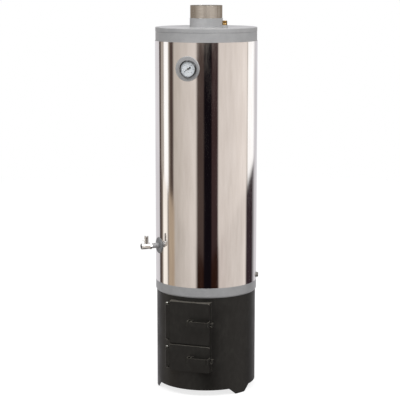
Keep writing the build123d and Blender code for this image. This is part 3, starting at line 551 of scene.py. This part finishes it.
sheet = grow("jacket_sheet", rolled_sheet_tree(), {
    "Radius": JACKET_R * MM, "Bottom": JACKET_BOTTOM * MM, "Top": JACKET_TOP * MM,
    "Columns": STEPS, "Rows": 83, "Material": MIRROR})
shape = bmesh.new()
shape.from_mesh(sheet)
if sum(face.normal.xy.dot(face.calc_center_median().xy) for face in shape.faces) < 0:
    bmesh.ops.reverse_faces(shape, faces=shape.faces)
shape.to_mesh(sheet)
shape.free()
cutters = [cutter(0.0, GAUGE_Z, 30.5), cutter(VALVE_AZIMUTH, VALVE_Z, 10.65),
    cutter(DRAIN_AZIMUTH, DRAIN_Z, 13.0)]
steps = [("SOLIDIFY", {"thickness": 0.8 * MM, "offset": -1.0})]
steps += [("BOOLEAN", {"operation": "DIFFERENCE", "solver": "EXACT", "object": one}) for one in cutters]
jacket_mesh = applied("jacket", sheet, steps)
for one in cutters:
    bpy.data.objects.remove(one)
settle("polished_jacket", jacket_mesh, MIRROR, "root", ["jacket"])
dressed("jacket_fold", ["jacket_seam"], MIRROR, "root", 0.4)
print("jacket faces:", len(jacket_mesh.polygons))

# %% [markdown]
# The grey bands and the lid are pressed sheet. Their edges are rolled over, so each outline has
# its corners rounded before it is turned. The lid's lip stands a little proud of the band below
# it. A shallow groove under the lip draws the fine dark line round the top of the heater.

# %% Bands, lid, collar and flue
band_low = [(202.5, 408.0), (203.5, 408.0), (206.5, 413.0), (206.5, 448.5), (205.0, 448.5),
    (205.0, 413.6), (202.5, 409.0)]
band_high = [(203.0, 1412.0), (204.5, 1412.0), (204.5, 1458.8), (203.4, 1459.8), (203.4, 1461.0),
    (203.0, 1461.0)]
lid = [(66.5, 1476.5), (203.0, 1476.5), (203.0, 1461.0), (205.1, 1461.0), (205.1, 1476.4),
    (203.5, 1478.0), (66.5, 1478.0)]
collar = [(64.4, 1461.0), (66.5, 1461.0), (66.5, 1513.0), (64.4, 1513.0)]
spigot = [(63.4, 1440.0), (64.4, 1440.0), (64.4, 1513.5), (65.0, 1513.5), (65.0, 1564.0), (64.0, 1564.0),
          (64.0, 1514.5), (63.4, 1514.5)]
settle("lower_band", lathe_mesh("lower_band", rounded(band_low, 0.7, 3)), COAT, "root",
    ["bottom_band"])
settle("upper_band", lathe_mesh("upper_band", rounded(band_high, 0.4, 2)), COAT, "root",
    ["top_band"])
settle("pressed_lid", lathe_mesh("pressed_lid", rounded(lid, 1.4, 4)), COAT, "root",
    ["top_lid"])
settle("collar", lathe_mesh("collar", rounded(collar, 0.5, 3), 96), COAT, "root",
    ["flue_collar"])
settle("spigot", lathe_mesh("spigot", rounded(spigot, 0.35, 3), 96), FLUE_STEEL, "root",
       ["flue_spigot"])

# %% [markdown]
# The firebox is one rolled sheet with three feet cut out of its skirt. The doors are shallow
# pressed pans that hang on tubes and pins, and each is held shut by a bent strap handle whose
# tongue drops behind a catch. All of these are dressed copies of the nodes. No groove shows between
# hinge tube and pan on the real doors, so a flat leaf is drawn over it. That leaf is a guess.

# %% Firebox, doors and handles
dressed("firebox", ["firebox_shell"], PAINT, "root", 0.8)
dressed("door_surround", ["door_frame"], PAINT, "root", 0.8)
dressed("hinge_ears", ["hinge_lugs"], PAINT, "root", 0.4)
dressed("hinge_pivots", ["hinge_pins"], ZINC, "root", 0.3)
dressed("catches", ["latch_catches"], PAINT, "root", 0.4)
dressed("firebox_bottom", ["firebox_floor"], PAINT, "root", 0.5)
dressed("grate_bars", ["grate"], IRON, "root", 0.8)
dressed("grate_ledge", ["grate_ring"], PAINT, "root", 0.4)
for door in ("fire", "ash"):
    dressed(f"{door}_pan", [f"{door}_door_pan"], PAINT, f"{door}_door", 1.1)
    dressed(f"{door}_tube", [f"{door}_door_hinge_tube"], PAINT, f"{door}_door", 0.4)
    dressed(f"{door}_rivet", [f"{door}_latch_rivet"], PAINT, f"{door}_door", 0.5)
    dressed(f"{door}_handle", [f"{door}_latch_lever"], PAINT, f"{door}_latch", 0.7)
LEAF_LEFT, LEAF_RIGHT, LEAF_FRONT, LEAF_BACK, LEAF_MARGIN = -96.0, -84.0, -213.7, -212.6, 1.5
for door in ("fire", "ash"):
    low, high = (Vector(corner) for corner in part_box(f"{door}_door_hinge_tube"))
    leaf = bmesh.new()
    bmesh.ops.create_cube(leaf, size=1.0)
    width, depth = (LEAF_RIGHT - LEAF_LEFT) * MM, (LEAF_BACK - LEAF_FRONT) * MM
    tall = high.z - low.z - 2 * LEAF_MARGIN * MM
    centre = Vector(((LEAF_LEFT + LEAF_RIGHT) / 2 * MM, (LEAF_FRONT + LEAF_BACK) / 2 * MM,
        (low.z + high.z) / 2))
    leaf.transform(Matrix.Translation(centre) @ Matrix.Diagonal((width, depth, tall, 1)))
    leaf_mesh = bpy.data.meshes.new(f"{door}_hinge_leaf")
    leaf.to_mesh(leaf_mesh)
    leaf.free()
    leaf_mesh = applied(f"{door}_hinge_leaf", leaf_mesh, [("BEVEL", {"width": 0.4 * MM, "segments": 2})])
    settle(f"{door}_hinge_leaf", leaf_mesh, PAINT, f"{door}_door")
    print(door, "hinge leaf height:", round(tall / MM, 1), "mm")
dressed("heat_shield", ["fire_door_baffle"], ROLLED, "fire_door", 0.4)
dressed("shield_spacers", ["baffle_spacers"], ZINC, "fire_door", 0.3)

# %% [markdown]
# The fittings: the outlet boss and nipple on the lid, the drain socket and plug low on the right,
# and the safety valve on its pipe at the left.
#
# The valve's spring is pressed shorter as the spindle rises. Here it is a plain smooth-shaded copy of
# its node that keeps one shape. A helix made of loose triangles needs no bevel.

# %% Fittings
dressed("outlet_boss", ["hot_outlet_boss"], COAT, "root", 0.6)
dressed("drain_boss", ["drain_socket"], COAT, "root", 0.5)
dressed("drain_hexagon", ["drain_plug"], ROLLED, "root", 0.4)
dressed("cold_pipe", ["inlet_pipe"], COAT, "root", 0.4)
# The valve's rosette takes the darker copy of the coat, which is painted shade.
dressed("valve_disc", ["valve_rosette"], COAT_SHADED, "root", 0.5)
dressed("union_nut", ["valve_nut"], NICKEL, "root", 0.5)
dressed("valve_barrel", ["valve_body"], NICKEL, "root", 0.4)
dressed("valve_bonnet", ["relief_bonnet"], NICKEL, "root", 0.3)
dressed("drip_barb", ["discharge_barb"], NICKEL, "root", 0.2)
dressed("test_knob", ["relief_knob"], NICKEL, "relief_knob", 0.25)
dressed("valve_spindle", ["relief_spindle"], NICKEL, "relief_spindle", 0.2)
spring_mesh = parts["relief_spring"].data.copy()
spring = bpy.data.objects.new("valve_spring", spring_mesh)
spring_mesh.materials.clear()
spring_mesh.materials.append(ZINC)
spring_mesh.shade_smooth()
spring_mesh.set_sharp_from_angle(angle=SMOOTH_UNDER)
scene.collection.objects.link(spring)
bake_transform(spring)
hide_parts("relief_spring")

# %% [markdown]
# The hot-water outlet is a half-inch pipe nipple. Its thread has 14 turns to the inch, a pitch of
# 1.81 mm, and its crest is 20.96 mm across. A thread is a ridge wound on a core, and that is how
# the tree below makes it: a spiral curve that carries a small three-sided profile.


# %% The tree that winds a thread
def thread_tree():
    tree, given = node_group("pipe_thread", {
        "Radius": ("Float", 0.01), "Pitch": ("Float", 0.0018), "Length": ("Float", 0.01),
        "Depth": ("Float", 0.001), "Material": ("Material", None)})
    turns = math_node(tree, "DIVIDE", given["Length"], given["Pitch"])
    spiral = node(tree, "GeometryNodeCurveSpiral", {
        "Resolution": 40, "Rotations": turns, "Start Radius": given["Radius"],
        "End Radius": given["Radius"], "Height": given["Length"]})
    profile = node(tree, "GeometryNodeCurvePrimitiveCircle", {"Resolution": 3, "Radius": given["Depth"]})
    ridge = node(tree, "GeometryNodeCurveToMesh", {
        "Curve": spiral.outputs[0], "Profile Curve": profile.outputs[0], "Fill Caps": True})
    close_tree(tree, ridge.outputs[0], given["Material"])
    return tree


# %% Outlet nipple and its thread
OUTLET = around(math.radians(55.2), 124.0 * MM, 0)
THREAD_PITCH = 25.4 / 14
CREST_R, ROOT_R = 10.48, 9.55
nipple = [(8.0, 1474.5), (10.1, 1474.5), (10.1, 1489.0), (ROOT_R, 1489.6), (ROOT_R, 1505.2),
    (9.0, 1506.0), (8.0, 1506.0)]
nipple_mesh = lathe_mesh("outlet_nipple", nipple, 64)
nipple_mesh.transform(Matrix.Translation(OUTLET))
settle("outlet_nipple", nipple_mesh, BRASS, "root", ["hot_outlet_nipple"])
RIDGE_R = 0.62
thread_mesh = grow("outlet_thread", thread_tree(), {
    "Radius": (CREST_R - RIDGE_R) * MM, "Pitch": THREAD_PITCH * MM, "Length": 14.0 * MM,
    "Depth": RIDGE_R * MM, "Material": BRASS})
thread_mesh.transform(Matrix.Translation(OUTLET + Vector((0, 0, 1490.4 * MM))))
settle("outlet_thread", thread_mesh, BRASS, "root")
print("thread turns:", round(14.0 / THREAD_PITCH, 1))

# %% [markdown]
# The thermometer: a grey rosette, a chrome case, a dark bezel, a printed dial behind glass, and a
# needle with a counterweight. The needle is under 2 mm wide, too thin to show from 5.6 m, so it is
# drawn broader than it is.

# %% Thermometer
dressed("gauge_cover", ["gauge_rosette"], COAT, "root", 0.6)
dressed("gauge_can", ["gauge_case"], CHROME, "root", 0.3)
dressed("dial_plate", ["gauge_dial"], FACE, "root", 0.0)
# The bezel's dark chrome is a painted dark reflection.
dressed("bezel_ring", ["gauge_bezel"], DARK_CHROME, "root", 0.3)
dressed("dial_glass", ["gauge_glass"], GLASS, "root", 0.3)
pointer = dressed("pointer", ["gauge_needle"], ENAMEL, "gauge_needle", 0.1)
NEEDLE_BROADER = 1.8
hub = Vector((0, 0, GAUGE_Z * MM))
tip = max((v.co - hub for v in pointer.data.vertices), key=lambda away: Vector((away.x, 0, away.z)).length)
along = Vector((tip.x, 0, tip.z)).normalized()
across_needle = Vector((-along.z, 0, along.x))
for vertex in pointer.data.vertices:
    side = (vertex.co - hub).dot(across_needle)
    vertex.co += across_needle * side * (NEEDLE_BROADER - 1)
print("needle points along", [round(c, 3) for c in along])

# %% [markdown]
# The scale runs from 0 to 120 degrees over three quarters of a turn, clockwise from the lower
# left. Its marks repeat at even angles, so a tree sets bars along an arc. Long bars stand at
# every 20 degrees, shorter ones at 10 and the finest at 2. The ink has no thickness in truth; a
# tenth of a millimetre lifts it clear of the plate.


# %% The tree that sets marks along an arc
def marks_tree():
    tree, given = node_group("dial_marks", {
        "Radius": ("Float", 0.02), "Count": ("Int", 7), "Length": ("Float", 0.003),
        "Width": ("Float", 0.0004), "Sweep": ("Float", 4.712), "Material": ("Material", None)})
    start = math_node(tree, "MULTIPLY_ADD", given["Sweep"], -0.5)
    start.node.inputs[2].default_value = math.pi / 2
    arc = node(tree, "GeometryNodeCurveArc", {
        "Resolution": 128, "Radius": given["Radius"], "Start Angle": start, "Sweep Angle": given["Sweep"]})
    points = node(tree, "GeometryNodeCurveToPoints", {"Curve": arc.outputs[0], "Count": given["Count"]},
        mode="COUNT")
    size = node(tree, "ShaderNodeCombineXYZ", {"X": given["Length"], "Y": given["Width"], "Z": 0.1 * MM})
    bar = node(tree, "GeometryNodeMeshCube", {"Size": size.outputs[0]})
    position = node(tree, "GeometryNodeInputPosition").outputs[0]
    spot = node(tree, "ShaderNodeSeparateXYZ", {0: position}).outputs
    heading = node(tree, "ShaderNodeCombineXYZ", {"Z": math_node(tree, "ARCTAN2", spot["Y"], spot["X"])})
    bars = node(tree, "GeometryNodeInstanceOnPoints", {
        "Points": points.outputs["Points"], "Instance": bar.outputs["Mesh"], "Rotation": heading.outputs[0]})
    close_tree(tree, bars.outputs[0], given["Material"])
    return tree


# %% Dial marks and figures
DIAL_FRONT = -214.5
SWEEP = math.radians(270)
INK_LIFT = 0.05
dial_centre = Vector((0, (DIAL_FRONT - INK_LIFT) * MM, GAUGE_Z * MM))
facing = Matrix.Translation(dial_centre) @ Matrix.Rotation(math.pi / 2, 4, "X")
marks = marks_tree()
for label, count, length, width, radius in (("long", 7, 3.4, 0.7, 25.4), ("short", 13, 2.4, 0.45, 25.9),
                                            ("fine", 61, 1.4, 0.25, 26.4)):
    mesh = grow(f"dial_marks_{label}", marks, {
        "Radius": radius * MM, "Count": count, "Length": length * MM, "Width": width * MM,
        "Sweep": SWEEP, "Material": INK})
    mesh.transform(facing)
    settle(f"dial_marks_{label}", mesh, INK, "root")


def figure(text, x_mm, z_mm, size_mm):
    """Flat printed characters centred on a spot of the dial."""
    words = bpy.data.curves.new("figure", "FONT")
    words.body = text
    words.size = size_mm * MM
    words.align_x = "CENTER"
    words.align_y = "CENTER"
    words.extrude = 0.04 * MM
    carrier = bpy.data.objects.new("figure", words)
    scene.collection.objects.link(carrier)
    depsgraph = bpy.context.evaluated_depsgraph_get()
    mesh = bpy.data.meshes.new_from_object(carrier.evaluated_get(depsgraph), depsgraph=depsgraph)
    bpy.data.objects.remove(carrier)
    mesh.transform(facing @ Matrix.Translation(Vector((x_mm * MM, z_mm * MM, 0))))
    return mesh


FIGURE_R, FIGURE_SIZE = 19.5, 4.6
UNIT_DOWN, UNIT_SIZE = 13.5, 5.0
figures = bmesh.new()
for step in range(7):
    angle = math.radians(225 - 45 * step)
    x, z = FIGURE_R * math.cos(angle), FIGURE_R * math.sin(angle)
    figures.from_mesh(figure(str(20 * step), x, z, FIGURE_SIZE))
figures.from_mesh(figure("\u00b0C", 0, -UNIT_DOWN, UNIT_SIZE))
figure_mesh = bpy.data.meshes.new("dial_figures")
figures.to_mesh(figure_mesh)
figures.free()
settle("dial_figures", figure_mesh, INK, "root")
print("dial marks:", 7 + 13 + 61, "figure faces:", len(figure_mesh.polygons))

# %% [markdown]
# Sheet steel like this is put together with weld beads: a row of overlapping scales, one for each
# pulse of the torch. The tree drops a squashed ball at even steps along a curve and varies its
# size a little. The same tree makes the bead round the door frame, the upright seam at the back,
# the rings round the collar and the outlet boss, and the short stitches on the hinge tubes.


# %% The tree that lays a weld bead
def weld_tree():
    tree, given = node_group("weld_bead", {
        "Step": ("Float", 0.003), "Size": ("Float", 0.002), "Seed": ("Int", 1),
        "Material": ("Material", None)})
    points = node(tree, "GeometryNodeCurveToPoints",
        {"Curve": given["Geometry"], "Length": given["Step"]}, mode="LENGTH")
    scale = node(tree, "GeometryNodeMeshUVSphere", {"Segments": 8, "Rings": 5, "Radius": 1.0})
    vary = node(tree, "FunctionNodeRandomValue", {"Seed": given["Seed"]}, data_type="FLOAT")
    vary.inputs[2].default_value = 0.85
    vary.inputs[3].default_value = 1.1
    girth = math_node(tree, "MULTIPLY", vary.outputs[1], given["Size"])
    longer = math_node(tree, "MULTIPLY", girth, 1.3)
    size = node(tree, "ShaderNodeCombineXYZ", {"X": girth, "Y": girth, "Z": longer})
    beads = node(tree, "GeometryNodeInstanceOnPoints", {
        "Points": points.outputs["Points"], "Instance": scale.outputs["Mesh"],
        "Rotation": points.outputs["Rotation"], "Scale": size.outputs[0]})
    close_tree(tree, beads.outputs[0], given["Material"])
    return tree


# %% Weld beads
weld = weld_tree()


def bead(name, points, size_mm, material, body, closed=False, seed=1):
    """Lays a bead of overlapping scales along points given in mm."""
    route = bpy.data.curves.new(name, "CURVE")
    route.dimensions = "3D"
    line = route.splines.new("POLY")
    line.points.add(len(points) - 1)
    for spot, (x, y, z) in zip(line.points, points):
        spot.co = (x * MM, y * MM, z * MM, 1)
    line.use_cyclic_u = closed
    mesh = grow(name, weld, {"Step": size_mm * 1.3 * MM, "Size": size_mm * MM, "Seed": seed,
        "Material": material}, route)
    return settle(name, mesh, material, body)


def circle(centre_x, centre_y, radius, z, count=96):
    turns = [2 * math.pi * k / count for k in range(count)]
    return [(centre_x + radius * math.cos(a), centre_y + radius * math.sin(a), z) for a in turns]


FIREBOX_R = 202.5
FRAME_X = (-83.0, 87.0)
FRAME_Z = (104.0, 390.0)


def on_shell(x, z):
    return (x, -math.sqrt(FIREBOX_R ** 2 - x ** 2) - 0.3, z)


columns = [FRAME_X[0] + (FRAME_X[1] - FRAME_X[0]) * k / 24 for k in range(25)]
frame_route = [on_shell(x, FRAME_Z[0]) for x in columns]
frame_route += [on_shell(x, FRAME_Z[1]) for x in reversed(columns)]
bead("frame_weld", frame_route, 1.8, PAINT, "root", closed=True)
bead("shell_seam", [(0, FIREBOX_R, 6), (0, FIREBOX_R, 404)], 2.0, PAINT, "root", seed=2)
bead("collar_weld", circle(0, 0, 66.8, 1478.2), 1.5, COAT, "root", closed=True, seed=3)
bead("boss_weld", circle(OUTLET.x / MM, OUTLET.y / MM, 13.6, 1478.2, 32), 1.1, COAT, "root",
    closed=True, seed=4)
for door, heights in (("fire", (250, 305, 360)), ("ash", (130, 157, 184))):
    for number, z in enumerate(heights):
        stitch = [(-84.0, -213.2, z - 7), (-84.0, -213.2, z + 7)]
        bead(f"{door}_tube_weld_{number}", stitch, 1.2, PAINT, f"{door}_door",
            seed=5 + number)

# %% [markdown]
# The pieces sealed inside keep the frame's own shapes, with their own finishes.

# %% Inner pieces
INNER = {
    "tank_shell": ROLLED, "tank_bottom_head": ROLLED, "tank_top_head": ROLLED, "flue_tube": ROLLED,
    "tank_seat": PAINT, "insulation": FOAM, "probe_pocket": ROLLED, "gauge_probe": BRASS,
    "gauge_arbor": BRASS}
for name, material in INNER.items():
    parts[name].data.materials.clear()
    parts[name].data.materials.append(material)
print("inner pieces:", len(INNER))

# %% [markdown]
# The studio. A mirror shows its room, so a room is made up for it: pale walls, two windows, a dark
# doorway in a brown frame, and a pale screen behind. All of it is made of eighteen plain tones, each
# with a name. Where a thing stands decides where its band falls on the jacket. Near the floor the
# light is weaker and some things change: there is a cupboard beside one window and a dark opening
# under the other. The flue pipe looks higher up, at a ceiling with darker beams. The room is painted
# on the world as a function of direction, for glossy rays alone. Diffuse light comes from an even
# grey world and three soft lamps, and the camera itself sees white.

# %% Room and lights
TONES = {
    "window": "FFFFFF", "net curtain": "FAF4EC", "bright wall": "E2DAD4", "wall": "D2CAC4",
    "dim wall": "C8BEB8", "wall in shade": "B8B0A8", "screen": "D0CED2", "screen in shade": "C4C2C6",
    "ceiling": "C0B8B0", "beam": "B4ACA4", "shade": "A8A098", "half light": "8C8278", "cupboard": "AE9C88",
    "frame": "483C38", "panel": "382A2A", "base board": "2A1812", "opening": "342A2E", "doorway": "100C10"}
# Each thing reaches from one bearing to another, in degrees from the camera's side of the room.
CEILING = [
    (-180, -177, "screen"), (-150, -100, "half light"), (-40, -30, "ceiling"), (-12, -4, "beam"),
    (8, 50, "ceiling"), (78, 81, "shade"), (87, 89, "half light"), (95, 97, "shade"),
    (120, 150, "half light"), (177, 180, "screen")]
WALLS_HIGH = [
    (-180, -136, "screen"), (-132, -127, "frame"), (-123, -114, "shade"), (-111, -99, "window"),
    (-95, -94, "half light"), (-90, -84, "frame"), (-79, -77, "wall in shade"), (-28, -26, "wall"),
    (-21, -9, "frame"), (-6, 9, "doorway"), (11, 23, "panel"), (26, 50, "wall"), (91, 101, "bright wall"),
    (103, 104, "wall in shade"), (107, 129, "window"), (140, 180, "screen in shade")]
WALLS_LOW = [
    (-180, -136, "screen"), (-132, -126, "frame"), (-121, -119, "half light"), (-116, -103, "net curtain"),
    (-99, -98, "half light"), (-95, -82, "cupboard"), (-76, -74, "wall in shade"), (-29, -27, "wall"),
    (-21, -9, "base board"), (-6, 8, "doorway"), (11, 24, "base board"), (28, 32, "dim wall"),
    (60, 84, "wall"), (97, 98, "bright wall"), (104, 126, "opening"), (144, 180, "screen")]
LOW_LIGHT = 0.93
MIRROR_LIFT = 1.25
ROOM_TURN = math.radians(-2.2)
room = bpy.data.worlds.new("room")
room.use_nodes = True
scene.world = room
walls = room.node_tree
walls.nodes.clear()
direction = node(walls, "ShaderNodeTexCoord").outputs["Generated"]
towards_camera = {"Vector": direction, "Angle": -CAMERA_AZIMUTH + ROOM_TURN}
turned = node(walls, "ShaderNodeVectorRotate", towards_camera, rotation_type="Z_AXIS")
axes = node(walls, "ShaderNodeSeparateXYZ", {0: turned.outputs[0]}).outputs
front = math_node(walls, "MULTIPLY", axes["Y"], -1.0)
bearing = math_node(walls, "ARCTAN2", axes["X"], front)
across = math_node(walls, "MULTIPLY_ADD", bearing, 1 / (2 * math.pi))
across.node.inputs[2].default_value = 0.5


def ring_of(things):
    """The colour by bearing of things that stand round the room; each fades into the next."""
    stops = []
    for start, end, tone in things:
        stops += [(0.5 + degrees / 360, linear(TONES[tone])) for degrees in (start, end)]
    return ramp(walls, across, stops)


def scaled(colour, factor):
    return node(walls, "ShaderNodeVectorMath", {0: colour, "Scale": factor}, operation="SCALE").outputs[0]


def rising(height, low, high):
    """0 below one height of the direction and 1 above another, as the sine of its elevation."""
    links = {"Value": height, "From Min": low, "From Max": high}
    return node(walls, "ShaderNodeMapRange", links).outputs["Result"]


def blend(factor, below, above):
    return node(walls, "ShaderNodeMix", {"Factor": factor, 6: below, 7: above}, data_type="RGBA").outputs[2]


off_axis = math_node(walls, "ABSOLUTE", math_node(walls, "SUBTRACT", across, 0.5), 0.0)
WINDOW_SLANT = -0.2
WINDOW_SILL = (-0.212, -0.204)
WALL_TOP = (-0.0435, -0.0405)
SKYLIGHT = (0.35, 0.6)
sill = node(walls, "ShaderNodeMath", {0: off_axis, 1: WINDOW_SLANT, 2: axes["Z"]},
    operation="MULTIPLY_ADD").outputs[0]
middle = blend(rising(sill, *WINDOW_SILL), scaled(ring_of(WALLS_LOW), LOW_LIGHT), ring_of(WALLS_HIGH))
upper = blend(rising(axes["Z"], *WALL_TOP), middle, ring_of(CEILING))
dome = blend(rising(axes["Z"], *SKYLIGHT), upper, linear("FFFFFF"))
lifted = scaled(dome, MIRROR_LIFT)
path = node(walls, "ShaderNodeLightPath").outputs
even = linear("A2A2A2")
seen = blend(path["Is Glossy Ray"], even, lifted)
shown = blend(path["Is Camera Ray"], seen, linear("FFFFFF"))
background = node(walls, "ShaderNodeBackground", {"Color": shown, "Strength": 1.0})
node(walls, "ShaderNodeOutputWorld", {"Surface": background.outputs[0]})


def soft_lamp(name, azimuth, distance, height, aim_height, size, watts):
    """A square area lamp that looks at the heater's axis."""
    data = bpy.data.lights.new(name, "AREA")
    data.size = size
    data.energy = watts
    lamp = bpy.data.objects.new(name, data)
    place = around(math.radians(azimuth), distance, height)
    lamp.matrix_world = Matrix.Translation(place) @ face_along(Vector((0, 0, aim_height)) - place)
    scene.collection.objects.link(lamp)
    return lamp


soft_lamp("key_lamp", 58, 3.0, 3.5, 1.4, 1.4, 56)
soft_lamp("fill_lamp", -28, 2.8, 3.6, 1.4, 1.2, 38)
soft_lamp("top_lamp", 12, 1.2, 4.2, 1.3, 1.0, 14)

# %% Floor
FLOOR_R = 6.0
floor_mesh = bpy.data.meshes.new("floor")
disc = bmesh.new()
bmesh.ops.create_circle(disc, cap_ends=True, segments=64, radius=FLOOR_R)
disc.to_mesh(floor_mesh)
disc.free()
paper, paper_tree, paper_shader, paper_coords = new_finish("white_studio_paper")
fibre = grain(paper_tree, paper_coords, 30, detail=3)
paper_tree.links.new(ramp(paper_tree, fibre, [(0.3, linear("AFAFAF")), (0.7, linear("B5B5B5"))]),
                     paper_shader.inputs["Base Color"])
paper_shader.inputs["Roughness"].default_value = 0.9
glow = node(paper_tree, "ShaderNodeEmission", {
    "Color": linear("FFFFFF"), "Strength": node(paper_tree, "ShaderNodeMath", {
        0: node(paper_tree, "ShaderNodeLightPath").outputs["Is Camera Ray"], 1: 0.78},
        operation="MULTIPLY").outputs[0]})
both = node(paper_tree, "ShaderNodeAddShader", {0: paper_shader.outputs[0], 1: glow.outputs[0]})
paper_tree.links.new(both.outputs[0], paper_tree.nodes["Material Output"].inputs["Surface"])
floor_mesh.materials.append(paper)
floor = bpy.data.objects.new("floor", floor_mesh)
floor.visible_glossy = False
scene.collection.objects.link(floor)
